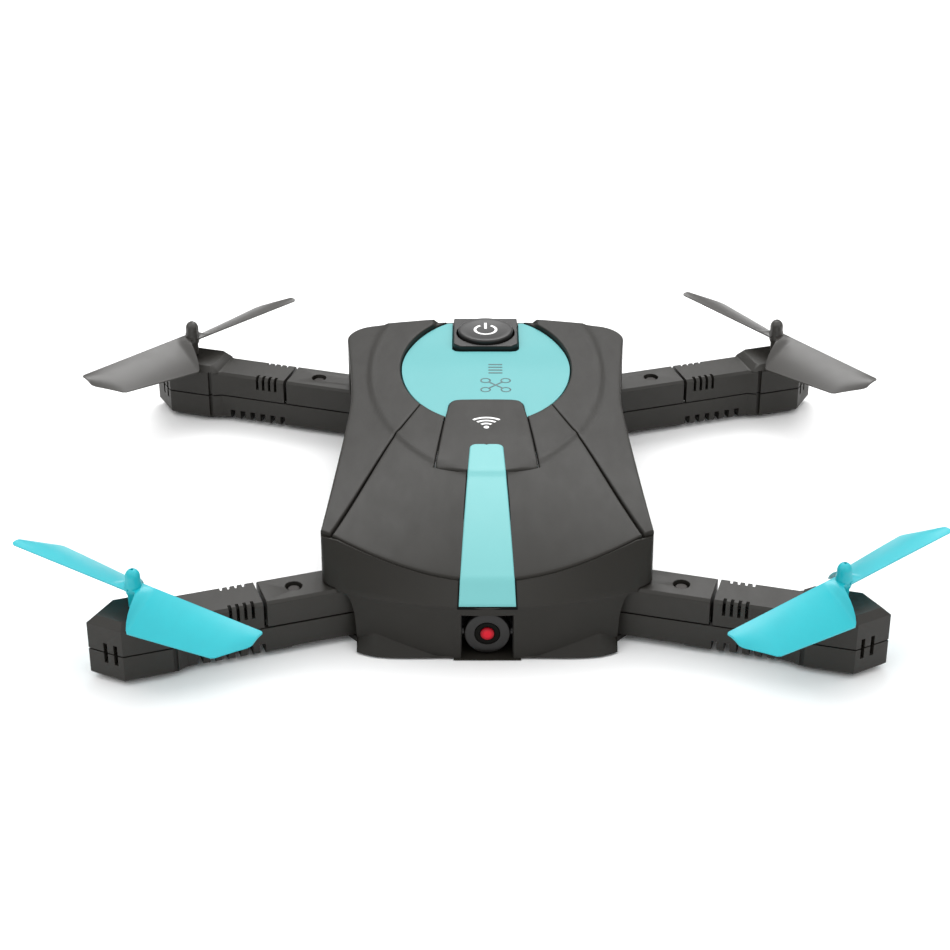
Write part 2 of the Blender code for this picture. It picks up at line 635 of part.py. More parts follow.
def make_camera():
    axis = (0.0, CAMERA_Y, CAMERA_Z)
    tilt = axis_empty("camera_tilt_axis", axis)
    housing = turned(
        "housing",
        [(2.2, -4.2), (3.9, -2.9), (BALL_R - 0.1, -0.6), (BALL_R - 0.02, 0.5), (CAMERA_R, CAMERA_FRONT - 0.2),
         (CAMERA_R - 0.25, CAMERA_FRONT)],
        sides=32,
    )
    laid_forward(housing, (0.0, 0.0, 0.0))
    rod = turned("rod", [(TRUNNION_R, -BALL_R - 1.1), (TRUNNION_R, BALL_R + 1.1)], sides=16)
    rod.data.transform(Matrix.Rotation(radians(90), 4, "Y"))
    join(housing, rod)
    pocket = laid_forward(
        turned("cutter", [(LENS_R + 1.2, CAMERA_FRONT - 1.2), (LENS_R + 1.2, CAMERA_FRONT + 2.0)], sides=24),
        (0.0, 0.0, 0.0),
    )
    finished(cut(housing, pocket), "camera_housing", TRIM_BLACK, tilt)

    ring = turned("ring", [(LENS_R + 0.9, CAMERA_FRONT - 0.9), (LENS_R + 0.9, CAMERA_FRONT + 0.2)], sides=24)
    hole = turned("cutter", [(LENS_R + 0.3, -9.0), (LENS_R + 0.3, 9.0)], sides=24)
    finished(laid_forward(cut(ring, hole), (0, 0, 0)), "lens_ring", STEEL, tilt)
    lens = turned(
        "lens",
        [(LENS_R, CAMERA_FRONT - 0.9), (LENS_R, CAMERA_FRONT - 0.1), (LENS_R * 0.8, CAMERA_FRONT + 0.25),
         (LENS_R * 0.4, CAMERA_FRONT + 0.42)],
        sides=20,
    )
    finished(laid_forward(lens, (0, 0, 0)), "camera_lens", LENS_RED, tilt)

    inner, front = BALL_R + GAP, CAMERA_Y - CAMERA_FRONT - 0.1
    bracket = box("bracket", (-BRACKET_X, BRACKET_X), (front, BRACKET_BACK), (0.9, NOTCH_TOP - 0.2))
    hollow = box("cutter", (-inner, inner), (front - 5.0, BRACKET_BACK - 1.0), (-1.0, NOTCH_TOP + 2.0))
    bore = turned("cutter", [(TRUNNION_R + RUNNING, -20.0), (TRUNNION_R + RUNNING, 20.0)], sides=16)
    bore.data.transform(Matrix.Translation([MM * c for c in axis]) @ Matrix.Rotation(radians(90), 4, "Y"))
    finished(cut(bracket, hollow, bore), "camera_bracket", TRIM_BLACK)


# ---------------------------------------------------------------- arms
def knuckle_arc(radius, steps=10):
    """The round end of an arm about its pivot, from +Y round the back to -Y."""
    angles = np.linspace(0.5 * pi, 1.5 * pi, steps + 1)
    return [(radius * cos(a), radius * sin(a)) for a in angles]


def arm_plan(reach, start=None, inset=0.0):
    """Outline of an arm seen from above, along +X, with the pointed motor pod.

    It starts square at start, or with the knuckle round the pivot."""
    half, pod = ARM_WIDTH / 2 - inset, POD_WIDTH / 2 - inset
    flare = 2.4
    right = [
        (reach - POD_BACK - flare, -half), (reach - POD_BACK, -pod),
        (reach + POD_SIDE, -pod), (reach + POD_TIP - inset * 1.3, 0.0),
    ]
    back = knuckle_arc(half) if start is None else [(start, half), (start, -half)]
    return back + right + [(x, -y) for x, y in reversed(right[:-1])]


def cover_plan(end, inset=0.0):
    """Outline of the root cover, from the knuckle to end."""
    half = ARM_WIDTH / 2 - inset
    return knuckle_arc(half) + [(end, -half), (end, half)]


def pod_plan(reach, inset):
    """Outline of the motor pod alone."""
    pod = POD_WIDTH / 2 - inset
    right = [(reach - POD_BACK - 1.6 + inset, -pod + 1.0), (reach - POD_BACK + inset * 0.4, -pod),
             (reach + POD_SIDE - inset * 0.4, -pod), (reach + POD_TIP - inset * 1.4, 0.0)]
    return right + [(x, -y) for x, y in reversed(right[:-1])]


def arm_hollow(reach, start, low, high):
    """Room for the wires and the motor inside an arm."""
    half = ARM_WIDTH / 2 - ARM_WALL
    channel = box("cutter", (start, reach), (-half, half), (low, high))
    well = turned("cutter", [(MOTOR_R + GAP, low - 0.5), (MOTOR_R + GAP, high + 0.4)], (reach, 0.0), sides=16)
    return [channel, well]


SQUARE = ((-1, -1), (-1, 1), (1, 1), (1, -1))


def pod_slots(reach):
    """Two upright cooling slots in each of the pod's slanting end faces."""
    corner = np.array([reach + POD_SIDE, -POD_WIDTH / 2])
    along = np.array([reach + POD_TIP, 0.0]) - corner
    along /= np.linalg.norm(along)
    across = np.array([along[1], -along[0]])
    cutters = []
    for distance in (1.7, 4.1):
        for sign in (1.0, -1.0):
            middle = corner + along * distance
            ends = [middle + a * 0.45 * along + b * 4.2 * across for a, b in SQUARE]
            outline = [(x, sign * y) for x, y in ends]
            if sign < 0:
                outline.reverse()
            cutters.append(prism("cutter", outline, PARTING - 2.4, PARTING + 2.2))
    for cutter in cutters:
        turned_out = sum(
            (a.x * b.y - b.x * a.y) for a, b in zip(
                [v.co for v in cutter.data.vertices[:4]],
                [cutter.data.vertices[i].co for i in (1, 2, 3, 0)], strict=True)
        )
        if turned_out < 0:
            cutter.data.flip_normals()
    return cutters


def side_groove(reach):
    """The upright groove between the pod and the arm, one cutter on each side."""
    x = reach - POD_BACK + 0.2
    out = POD_WIDTH / 2
    return [
        box("cutter", (x - 0.45, x + 0.45), sorted((side * (out - 0.8), side * (out + 1.0))),
            (-1.0, ARM_TOP + 0.2))
        for side in (-1.0, 1.0)
    ]


def make_arm_shapes(reach):
    """The four moulded pieces and the screw of one arm, along +X with the pivot at the origin."""
    half = ARM_WIDTH / 2
    groove = reach - GROOVE_BACK
    screw_x = groove - SCREW_BACK
    root_zone = 15.0
    bore = [(PIN_R + RUNNING, -1.0), (PIN_R + RUNNING, ARM_TOP + 1.0)]

    lower = layers("lower", [
        (ARM_BOTTOM, arm_plan(reach, inset=ARM_CHAMFER)),
        (ARM_BOTTOM + ARM_CHAMFER, arm_plan(reach)),
        (PARTING - GAP / 2, arm_plan(reach)),
    ])
    foot = layers("foot", [(0.0, pod_plan(reach, 2.0)), (ARM_BOTTOM + 0.2, pod_plan(reach, 0.7))])
    join(lower, foot)
    over_tray = turned("cutter", [(root_zone, -1.0), (root_zone, ROOT_LIFT)], sides=24)
    notches = [
        box("cutter", (groove + 0.9 + 2.6 * k - 0.6, groove + 0.9 + 2.6 * k + 0.6), (-half - 1.0, half + 1.0),
            (-1.0, ARM_BOTTOM + 2.4)) for k in range(6)
    ]
    cut(lower, over_tray, turned("cutter", bore), *arm_hollow(reach, 6.0, 2.2, PARTING + 1.0))
    cut(lower, *notches, *pod_slots(reach), *side_groove(reach))

    upper = layers("upper", [
        (PARTING + GAP / 2, arm_plan(reach, groove + GROOVE / 2)),
        (ARM_TOP - ARM_CHAMFER, arm_plan(reach, groove + GROOVE / 2)),
        (ARM_TOP, arm_plan(reach, groove + GROOVE / 2, ARM_CHAMFER)),
    ])
    cap = layers("cap", [
        (ARM_TOP - 2.0, pod_plan(reach, 0.0)), (ARM_TOP, pod_plan(reach, 0.0)),
        (ARM_TOP + POD_RISE, pod_plan(reach, POD_CHAMFER)),
    ])
    join(upper, cap)
    slots = []
    for k in range(4):
        x = groove + 2.5 + 1.55 * k
        for side in (-1.0, 1.0):
            across = sorted((side * (half - 1.6), side * (half + 1.0)))
            slots.append(box("cutter", (x - 0.33, x + 0.33), across, (ARM_TOP - 3.2, ARM_TOP + 1.0)))
    shaft_hole = turned("cutter", [(SHAFT_R + 0.4, 5.0), (SHAFT_R + 0.4, ARM_TOP + 4.0)], (reach, 0.0))
    cut(upper, *arm_hollow(reach, groove + 1.8, PARTING - 1.0, ARM_TOP - 1.3), shaft_hole)
    cut(upper, *slots, *pod_slots(reach), *side_groove(reach))

    cover_end = groove - GROOVE / 2
    cover = layers("cover", [
        (PARTING + GAP / 2, cover_plan(cover_end)), (ARM_TOP - ARM_CHAMFER, cover_plan(cover_end)),
        (ARM_TOP, cover_plan(cover_end, ARM_CHAMFER)),
    ])
    recess = turned("cutter", [(1.75, ARM_TOP - 1.6), (1.75, ARM_TOP + 1.0)], (screw_x, 0.0))
    thread = turned("cutter", [(1.1, PARTING - 1.0), (1.1, ARM_TOP)], (screw_x, 0.0))
    cut(cover, turned("cutter", bore), recess, thread)

    screw = turned("screw", [(0.8, PARTING - 0.3), (0.8, ARM_TOP - 1.3), (1.4, ARM_TOP - 1.3),
                             (1.4, ARM_TOP - 0.75), (1.1, ARM_TOP - 0.6)], (screw_x, 0.0), sides=16)
    thread_low = turned("cutter", [(1.1, PARTING - 1.0), (1.1, PARTING + 1.0)], (screw_x, 0.0))
    cut(lower, thread_low)

    can = [(MOTOR_R, MOTOR_BASE + 0.6), (MOTOR_R, MOTOR_TOP - 1.0), (MOTOR_R - 0.3, MOTOR_TOP - 0.7),
           (1.6, MOTOR_TOP - 0.7), (1.6, MOTOR_TOP)]
    motor = turned("motor", can, (reach, 0.0), sides=16)
    cut(motor, turned("cutter", [(SHAFT_R + RUNNING, 8.0), (SHAFT_R + RUNNING, 20.0)], (reach, 0.0)))
    return {
        "lower_shell": (lower, BLACK), "upper_shell": (upper, BLACK), "root_cover": (cover, BLACK),
        "screw": (screw, STEEL), "motor": (motor, STEEL),
    }


# ---------------------------------------------------------------- propellers
def blade_section(r):
    """Leading and trailing edge offsets and the pitch of the blade at radius r."""
    lead = 1.9 - 0.4 * r / PROP_R
    wide = 9.4 - 1.6 * r / PROP_R
    ramp = min(max((r - 1.6) / 3.2, 0.0), 1.0)
    trail = -1.5 - (wide - 1.5) * ramp * ramp * (3.0 - 2.0 * ramp)
    tip_cut = max(r - (PROP_R - 5.5), 0.0) / 5.5
    trail += tip_cut * (wide - 2.6)
    pitch = radians(30.0 - 14.0 * r / PROP_R) * ramp
    return lead, trail, pitch


def make_propeller_shape(hand):
    """Two pitched blades, the dome and the stem, about +Z, with the leading edge at BLADE_Z."""
    stations = [0.0, 1.6, 2.7, 3.7, 4.8, 9.0, 16.0, 26.5, PROP_R]
    pieces = []
    for half_turn in (0.0, pi):
        upper = []
        for r in stations:
            lead, trail, pitch = blade_section(r)
            row = []
            for t in np.linspace(0.0, 1.0, 4):
                c = trail + (lead - trail) * t
                drop = (lead - c) * sin(pitch)
                flat = lead - (lead - c) * cos(pitch)
                camber = 0.5 * sin(pi * t) * (pitch > 0.0)
                row.append((r, hand * flat, BLADE_Z - drop + camber))
            upper.append(row)
        upper = np.array(upper)
        lower = upper - (0.0, 0.0, BLADE)
        if hand < 0:
            upper, lower = upper[:, ::-1], lower[:, ::-1]
        blade = sheet_solid("blade", upper, lower)
        blade.data.transform(Matrix.Rotation(half_turn, 4, "Z"))
        pieces.append(blade)
    dome = turned("dome", [(1.3, ARM_TOP + POD_RISE + 0.4), (1.3, BLADE_Z - 1.6), (DOME_R, BLADE_Z - 1.4),
                           (DOME_R, DOME_TOP - 1.6), (DOME_R * 0.87, DOME_TOP - 0.8),
                           (DOME_R * 0.5, DOME_TOP - 0.2), (DOME_R * 0.2, DOME_TOP)])
    join(dome, *pieces)
    bore = turned("cutter", [(SHAFT_R + RUNNING, 0.0), (SHAFT_R + RUNNING, BLADE_Z + 2.0)], sides=12)
    return cut(dome, bore)


def make_arms():
    shapes = {"front": make_arm_shapes(FRONT_REACH), "rear": make_arm_shapes(REAR_REACH)}
    shaft = turned("shaft", [(SHAFT_R - 0.02, 8.4), (SHAFT_R - 0.02, BLADE_Z + 1.6)], sides=12)
    pin = turned("pin", [
        (SPIGOT_R, 0.3), (SPIGOT_R, FLOOR + GAP), (PIN_R, FLOOR + GAP),
        (PIN_R, ARM_TOP + 0.1), (SPIGOT_R, ARM_TOP + 0.1), (SPIGOT_R, DECK_Z + DECK + 0.2),
    ])
    blades = {1.0: make_propeller_shape(1.0), -1.0: make_propeller_shape(-1.0)}
    patterns = [shaft, pin, *blades.values()] + [obj for kind in shapes.values() for obj, _ in kind.values()]

    for corner, angle in ARM_ANGLES.items():
        kind, side = corner.split("_")
        pivot, reach = (FRONT_PIVOT, FRONT_REACH) if kind == "front" else (REAR_PIVOT, REAR_REACH)
        place = (SIDES[side] * pivot[0], pivot[1], 0.0)
        turn = radians(angle)
        fold = axis_empty(f"{corner}_fold_axis", place, turn)
        for piece, (shape, material) in shapes[kind].items():
            name = f"{corner}_motor" if piece == "motor" else f"{corner}_arm_{piece}"
            copy_piece(shape, name, material, fold)
        copy_piece(pin, f"{corner}_pivot_pin", STEEL, axis_empty(f"{corner}_pin_axis", place))
        hub = (place[0] + reach * cos(turn), place[1] + reach * sin(turn), 0.0)
        hand = 1.0 if corner in ("front_left", "rear_right") else -1.0
        spin = axis_empty(f"{corner}_spin_axis", hub, radians(PROP_LINES[corner]))
        copy_piece(blades[hand], f"{corner}_propeller", PROP_TEAL if kind == "front" else PROP_GREY, spin)
        copy_piece(shaft, f"{corner}_motor_shaft", STEEL, spin)
    for pattern in patterns:
        bpy.data.objects.remove(pattern, do_unlink=True)


def copy_piece(shape, name, material, parent):
    copy = bpy.data.objects.new(name, shape.data.copy())
    bpy.context.scene.collection.objects.link(copy)
    return finished(copy, name, material, parent)


make_canopy()
make_power_button()
make_belly()
make_camera()
make_arms()
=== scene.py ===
# %% [markdown]
# # A mini palm drone, dressed
#
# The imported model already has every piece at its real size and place. This notebook gives it its looks:
# smooth moulded panels with rolled edges, twisted propeller blades, printed signs, and plastics with grain.
# Everything below is in metres once it is in a mesh, and in millimetres while it is being worked out.

from math import cos, pi, radians, sin, sqrt

import bmesh
import bpy
import numpy as np
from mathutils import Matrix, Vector


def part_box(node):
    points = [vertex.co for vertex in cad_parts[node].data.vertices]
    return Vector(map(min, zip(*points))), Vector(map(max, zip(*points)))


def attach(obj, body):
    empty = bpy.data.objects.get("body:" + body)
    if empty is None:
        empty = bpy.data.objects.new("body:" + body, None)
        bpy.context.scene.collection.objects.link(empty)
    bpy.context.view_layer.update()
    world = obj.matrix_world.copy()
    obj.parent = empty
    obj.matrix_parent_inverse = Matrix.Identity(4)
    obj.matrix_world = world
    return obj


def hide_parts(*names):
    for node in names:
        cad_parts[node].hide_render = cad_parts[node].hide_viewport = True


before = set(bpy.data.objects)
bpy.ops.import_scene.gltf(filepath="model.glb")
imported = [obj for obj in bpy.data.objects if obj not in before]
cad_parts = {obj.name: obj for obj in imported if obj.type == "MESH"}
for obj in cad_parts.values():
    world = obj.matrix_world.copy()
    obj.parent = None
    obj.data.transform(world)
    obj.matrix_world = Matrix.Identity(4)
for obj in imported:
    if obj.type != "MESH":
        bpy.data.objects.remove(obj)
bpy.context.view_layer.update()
MM = 0.001
CORNERS = ("front_left", "front_right", "rear_left", "rear_right")

# %% [markdown]
# ## Shader maths as Python
#
# A material is a small network of nodes. Wiring it by hand is long, so a socket is wrapped in a class that
# knows + - * and /: an expression such as `1 - mask * 0.5` then adds the Math nodes by itself.
# Colours go through Mix nodes instead, because a Math node would turn them grey.


# %% A socket that can be calculated with
class Signal:
    """An output socket of a node; each operator adds one Math node and returns its output."""

    def __init__(self, recipe, socket):
        self.recipe, self.socket = recipe, socket

    def maths(self, operation, *others):
        """Adds a Math node with this socket and the others as its inputs."""
        settings = {"operation": operation}
        return self.recipe.node("ShaderNodeMath", settings, dict(enumerate((self, *others))))

    def __add__(self, other):
        return self.maths("ADD", other)

    def __sub__(self, other):
        return self.maths("SUBTRACT", other)

    def __rsub__(self, other):
        return self.maths("MULTIPLY", -1.0).maths("ADD", other)

    def __mul__(self, other):
        return self.maths("MULTIPLY", other)

    def __truediv__(self, other):
        return self.maths("DIVIDE", other)

    def between(self, low, high):
        """0 below low, 1 above high and a smooth ramp between."""
        settings = {"interpolation_type": "SMOOTHSTEP"}
        inputs = {"Value": self, "From Min": low, "From Max": high}
        return self.recipe.node("ShaderNodeMapRange", settings, inputs)

    __radd__, __rmul__ = __add__, __mul__


# %% One recipe for each finish
class Recipe:
    """A material in the making: a Principled shader, and methods that add nodes to it."""

    def __init__(self, name):
        self.material = bpy.data.materials.new(name)
        self.material.use_nodes = True
        self.tree = self.material.node_tree
        self.shader = self.tree.nodes["Principled BSDF"]

    def node(self, kind, settings, inputs, output=0):
        """Adds a node, sets its settings, feeds its sockets, and returns one of its outputs."""
        made = self.tree.nodes.new(kind)
        for key, value in settings.items():
            if key == "stops":
                self.set_stops(made.color_ramp, value)
            else:
                setattr(made, key, value)
        for key, value in inputs.items():
            self.feed(made.inputs[key], value)
        return Signal(self, made.outputs[output])

    def set_stops(self, ramp, stops):
        """Gives a colour ramp its (place, colour) stops."""
        while len(ramp.elements) < len(stops):
            ramp.elements.new(0.5)
        for element, (place, colour) in zip(ramp.elements, stops, strict=True):
            element.position, element.color = place, (*colour, 1.0)

    def feed(self, socket, value):
        """Links a signal to a socket, or sets the socket to a plain value."""
        if isinstance(value, Signal):
            self.tree.links.new(value.socket, socket)
        else:
            socket.default_value = value

    def places(self):
        """Each point's own place in the mesh, so that a pattern stays put when its piece moves."""
        return self.node("ShaderNodeTexCoord", {}, {}, "Object")

    def noise(self, size_mm, detail=2.0, roughness=0.5, stretch=(1.0, 1.0, 1.0)):
        """Soft noise whose blotches are about size_mm across, between 0 and 1."""
        place = self.node("ShaderNodeMapping", {}, {"Vector": self.places(), "Scale": stretch})
        wanted = {"Vector": place, "Scale": 1.0 / (size_mm * MM), "Detail": detail, "Roughness": roughness}
        return self.node("ShaderNodeTexNoise", {}, wanted, "Fac")

    def blend(self, factor, one, two):
        """Two colours mixed by a factor from 0 to 1."""
        settings = {"data_type": "RGBA", "clamp_factor": True}
        return self.node("ShaderNodeMix", settings, {0: factor, 6: one, 7: two}, 2)

    def bump(self, height, depth_mm, normal=None):
        """Turns a height from 0 to 1 into a bump that is depth_mm deep."""
        inputs = {"Height": height, "Distance": depth_mm * MM, "Strength": 1.0}
        if normal is not None:
            inputs["Normal"] = normal
        return self.node("ShaderNodeBump", {}, inputs, "Normal")

    def surface(self, **values):
        """Feeds the shader's sockets: base_color stands for Base Color, and so on."""
        for key, value in values.items():
            self.feed(self.shader.inputs[key.replace("_", " ").title().replace("Ior", "IOR")], value)
        return self.material


# %% [markdown]
# ## Finishes
#
# The body is ABS moulded in a spark-eroded steel tool. Such a tool leaves a very fine even grain, so the
# plastic is satin, never glossy, with broader and weaker unevenness where it has been handled. Each finish
# below gets that grain as bump, and a slow drift in colour and roughness.


# %% Moulded plastics
def moulded(name, colour, roughness, grain_mm=0.22, depth_mm=0.006, drift=0.14, **more):
    """Grained plastic: colour drifts by a share of itself, and grain and specks feed a Bump node."""
    recipe = Recipe(name)
    cloud = recipe.noise(9.0, detail=3.0)
    smear = recipe.noise(3.0, detail=4.0, roughness=0.65, stretch=(1.0, 0.35, 1.0))
    grain = recipe.noise(grain_mm, detail=1.0)
    speck = recipe.noise(grain_mm * 2.6, detail=0.0).between(0.66, 0.74)
    dark = tuple(c * (1.0 - drift) for c in colour) + (1.0,)
    light = tuple(min(c * (1.0 + drift), 1.0) for c in colour) + (1.0,)
    tint = recipe.blend(cloud * 0.7 + grain * 0.3, dark, light)
    fine = recipe.bump(grain * 0.75 + speck * 0.25, depth_mm)
    shine = smear * 0.14 + grain * 0.05 + (roughness - 0.1)
    return recipe.surface(base_color=tint, roughness=shine, normal=fine, **more)


BODY_BLACK = moulded("body_black", (0.0140, 0.0127, 0.0102), 0.50, specular_ior_level=0.25)
ARM_BLACK = moulded("arm_black", (0.0165, 0.0150, 0.0122), 0.50, specular_ior_level=0.36)
INNER_GREY = moulded("inner_grey", (0.012, 0.012, 0.012), 0.60, grain_mm=0.35, specular_ior_level=0.3)
# Painted shade: a nearly black finish for the sheet that stands in for the shadow in the gap round the centre
# strip.
SHADOW_BLACK = moulded("shadow_black", (0.0015, 0.0025, 0.0025), 0.7, depth_mm=0.002, specular_ior_level=0.1)
SMOOTH_BLACK = moulded("smooth_black", (0.0075, 0.0070, 0.0065), 0.34, depth_mm=0.002, specular_ior_level=0.4)
EVEN = {"drift": 0.03, "depth_mm": 0.003}
PANEL_TEAL = moulded("panel_teal", (0.145, 0.43, 0.435), 0.42, specular_ior_level=0.3, **EVEN)
# Painted shade: the cover's teal is the panel teal made darker, which holds the cover down under the strong
# overhead light.
COVER_TEAL_SHADED = moulded("cover_teal_shaded", (0.112, 0.375, 0.385), 0.42, specular_ior_level=0.25, **EVEN)
PRINT_WHITE = moulded("print_white", (0.86, 0.86, 0.85), 0.45, drift=0.04, depth_mm=0.002)
PRINT_DARK = moulded("print_dark", (0.045, 0.10, 0.105), 0.45, drift=0.10, depth_mm=0.002)
print("moulded finishes:", len(bpy.data.materials))


# %% Blades, metals, glass
def blade_plastic(name, colour, rim, alpha, roughness):
    """Nylon that lets some light through: a little clear, with flow lines that run along the blade."""
    recipe = Recipe(name)
    flow = recipe.noise(2.2, detail=3.0, stretch=(1.0, 1.0, 0.3))
    cloud = recipe.noise(14.0)
    grain = recipe.noise(0.5, detail=1.0)
    tint = recipe.blend(cloud * 0.6 + flow * 0.4, (*colour, 1.0), (*rim, 1.0))
    ripple = recipe.bump(flow * 0.6 + grain * 0.4, 0.012)
    return recipe.surface(
        base_color=tint, roughness=flow * 0.12 + roughness, normal=ripple, alpha=alpha,
        coat_weight=0.12, coat_roughness=0.3,
    )


def brushed(name, colour, roughness, stretch):
    """Metal with fine turning or drawing lines."""
    recipe = Recipe(name)
    lines = recipe.noise(0.12, detail=2.0, stretch=stretch)
    stain = recipe.noise(2.5, detail=3.0)
    tint = recipe.blend(stain, (*(c * 0.8 for c in colour), 1.0), (*colour, 1.0))
    groove = recipe.bump(lines, 0.004)
    shine = lines * 0.2 + stain * 0.1 + roughness
    return recipe.surface(base_color=tint, metallic=1.0, roughness=shine, normal=groove)


BLADE_TEAL = blade_plastic("propeller_teal", (0.0, 0.36, 0.43), (0.0, 0.46, 0.52), 0.97, 0.32)
BLADE_GREY = blade_plastic("propeller_grey", (0.026, 0.024, 0.021), (0.040, 0.037, 0.033), 1.0, 0.34)
STEEL = brushed("bare_steel", (0.58, 0.57, 0.56), 0.22, (1.0, 1.0, 8.0))
MOTOR_CAN = brushed("motor_can", (0.50, 0.50, 0.52), 0.26, (1.0, 1.0, 0.1))
RING_METAL = brushed("lens_rim", (0.012, 0.012, 0.011), 0.44, (1.0, 6.0, 1.0))
DARK_STEEL = brushed("dark_steel", (0.045, 0.042, 0.040), 0.34, (1.0, 1.0, 8.0))
FOIL = brushed("battery_foil", (0.66, 0.66, 0.68), 0.30, (0.4, 1.0, 1.0))


def lens_red(name="lens_glass"):
    """A red lens window, brighter in the middle, with painted shade that darkens it towards its rim."""
    recipe = Recipe(name)
    low, high = (Vector(corner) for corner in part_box("camera_lens"))
    centre = (low + high) / 2
    offset = recipe.node("ShaderNodeVectorMath", {"operation": "SUBTRACT"}, {0: recipe.places(), 1: centre})
    reach = recipe.node("ShaderNodeVectorMath", {"operation": "LENGTH"}, {0: offset}, "Value")
    # Painted shade: past about half its radius the window darkens towards its rim, where the trim ring would
    # shade it.
    rim = (reach / ((high.x - low.x) / 2)).between(0.55, 1.0)
    tint = recipe.blend(rim, (0.62, 0.004, 0.020, 1.0), (0.30, 0.002, 0.010, 1.0))
    dust = recipe.noise(0.3, detail=2.0)
    return recipe.surface(base_color=tint, roughness=dust * 0.1 + 0.2, specular_ior_level=0.2)


def circuit(name="board_green"):
    """Green solder mask over copper tracks that run along the board."""
    recipe = Recipe(name)
    tracks = recipe.noise(0.9, detail=0.0, stretch=(1.0, 0.12, 1.0)).between(0.47, 0.53)
    tint = recipe.blend(tracks, (0.008, 0.085, 0.032, 1.0), (0.020, 0.150, 0.055, 1.0))
    return recipe.surface(base_color=tint, roughness=tracks * 0.1 + 0.3, normal=recipe.bump(tracks, 0.03))


LENS_RED = lens_red()
BOARD = circuit()
print("all finishes:", len(bpy.data.materials))

# %% [markdown]
# ## From grids to meshes
#
# Every new piece is a rectangular grid of points worked out with numpy, whole arrays at a time. A panel
# needs a top, an underside and side walls, so two grids of the same size are joined along their rims into a
# closed skin.


# %% Grids become closed meshes
def piece(name, points, faces, material, body, slot, smooth_below=38.0):
    """A mesh from points in millimetres and faces, which rides on a body."""
    mesh = bpy.data.meshes.new(name)
    mesh.from_pydata(np.asarray(points, float) * MM, [], faces)
    shape = bmesh.new()
    shape.from_mesh(mesh)
    bmesh.ops.remove_doubles(shape, verts=shape.verts, dist=1e-6)
    bmesh.ops.recalc_face_normals(shape, faces=shape.faces)
    shape.to_mesh(mesh)
    shape.free()
    mesh.shade_smooth()
    mesh.set_sharp_from_angle(angle=radians(smooth_below))
    obj = bpy.data.objects.new(name, mesh)
    bpy.context.scene.collection.objects.link(obj)
    mesh.materials.append(material)
    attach(obj, body)
    return obj


def quads(rows, columns, first=0, around=False):
    """Faces of a grid whose point (i, j) is number first + i * columns + j.

    With around, the last row is joined to the first."""
    i, j = np.meshgrid(np.arange(rows if around else rows - 1), np.arange(columns - 1), indexing="ij")
    here = (i * columns + j).ravel()
    below = ((i + 1) % rows * columns + j).ravel()
    return (first + np.stack([here, below, below + 1, here + 1], 1)).tolist()


def rim(rows, columns):
    """Point numbers round the edge of a grid, in order."""
    number = np.arange(rows * columns).reshape(rows, columns)
    sides = (number[0, :-1], number[:-1, -1], number[-1, :0:-1], number[:0:-1, 0])
    return np.concatenate(sides)


def closed_grids(top, bottom):
    """Points and faces of a skin: the top grid, the bottom grid, and walls between their rims."""
    rows, columns = top.shape[:2]
    count = rows * columns
    points = np.concatenate([top.reshape(-1, 3), bottom.reshape(-1, 3)])
    ring = rim(rows, columns)
    after = np.roll(ring, -1)
    walls = np.stack([ring, after, after + count, ring + count], axis=1).tolist()
    return points, quads(rows, columns) + quads(rows, columns, count) + walls


# %% [markdown]
# ## The canopy's form
#
# The canopy is one gently crowned surface that several panels share: a level crown that falls towards the
# nose, and shoulders that fall less. A raised step follows an ellipse round the teal cover. Because all
# panels read their height from the same function, their seams meet by themselves.

# %% Heights of the canopy
SIDE_GAP = 0.17        # half of the gap in a seam
NOSE_CORNER = (34.0, -43.0)
SEAM_FRONT = -50.2
WAIST, TAIL = (30.4, 12.0), (32.8, 54.3)
TAIL_BOW, TAIL_ROUND = 4.3, 5.0
CROWN, CROWN_END = 26.0, -5.0
SEAM_HEIGHT, SHOULDER, NOSE_SHOULDER = 16.5, 25.2, 24.0
STEP_CENTRE, STEP_SIDE, STEP_LENGTH = 28.5, 26.6, 49.2
STEP_HEIGHT, STEP_WIDTH = 0.30, 0.9
BEAD_HEIGHT, BEAD_WIDTH = 0.16, 0.55


def half_width(y):
    """Waist half width, plus a 1.3 power of the way to the nose or to the tail."""
    nose = np.clip((WAIST[1] - y) / (WAIST[1] - NOSE_CORNER[1]), 0, 1) ** 1.3
    tail = np.clip((y - WAIST[1]) / (TAIL[1] - TAIL_BOW - TAIL_ROUND - WAIST[1]), 0, 1) ** 1.3
    return WAIST[0] + (NOSE_CORNER[0] - WAIST[0]) * nose + (TAIL[0] - WAIST[0]) * tail


def seam_y(x):
    """The hood's front edge: a parabola between the nose corners."""
    return SEAM_FRONT + (NOSE_CORNER[1] - SEAM_FRONT) * (np.abs(x) / NOSE_CORNER[0]) ** 2


def tail_y(x):
    """The tail's edge: a shallow parabola whose ends turn into the sides on a quarter circle."""
    into = np.clip(np.abs(x) - (TAIL[0] - TAIL_ROUND), 0, TAIL_ROUND)
    return TAIL[1] - TAIL_BOW * (np.abs(x) / TAIL[0]) ** 2 - TAIL_ROUND + np.sqrt(TAIL_ROUND**2 - into**2)


def smoothstep(t):
    """0 up to t = 0 and 1 from t = 1, with the cubic 3t^2 - 2t^3 between."""
    t = np.clip(t, 0, 1)
    return t * t * (3 - 2 * t)


def plain_height(x, y):
    """Crown height, blended to shoulder height with the square of x."""
    fall = np.clip(CROWN_END - y, 0, None)
    crown = CROWN - (CROWN - SEAM_HEIGHT) * (fall / (CROWN_END - SEAM_FRONT)) ** 1.8
    shoulder = SHOULDER - (SHOULDER - NOSE_SHOULDER) * (fall / (CROWN_END - NOSE_CORNER[1])) ** 2
    return crown + (shoulder - crown) * np.clip(np.abs(x) / NOSE_CORNER[0], 0, 1) ** 2


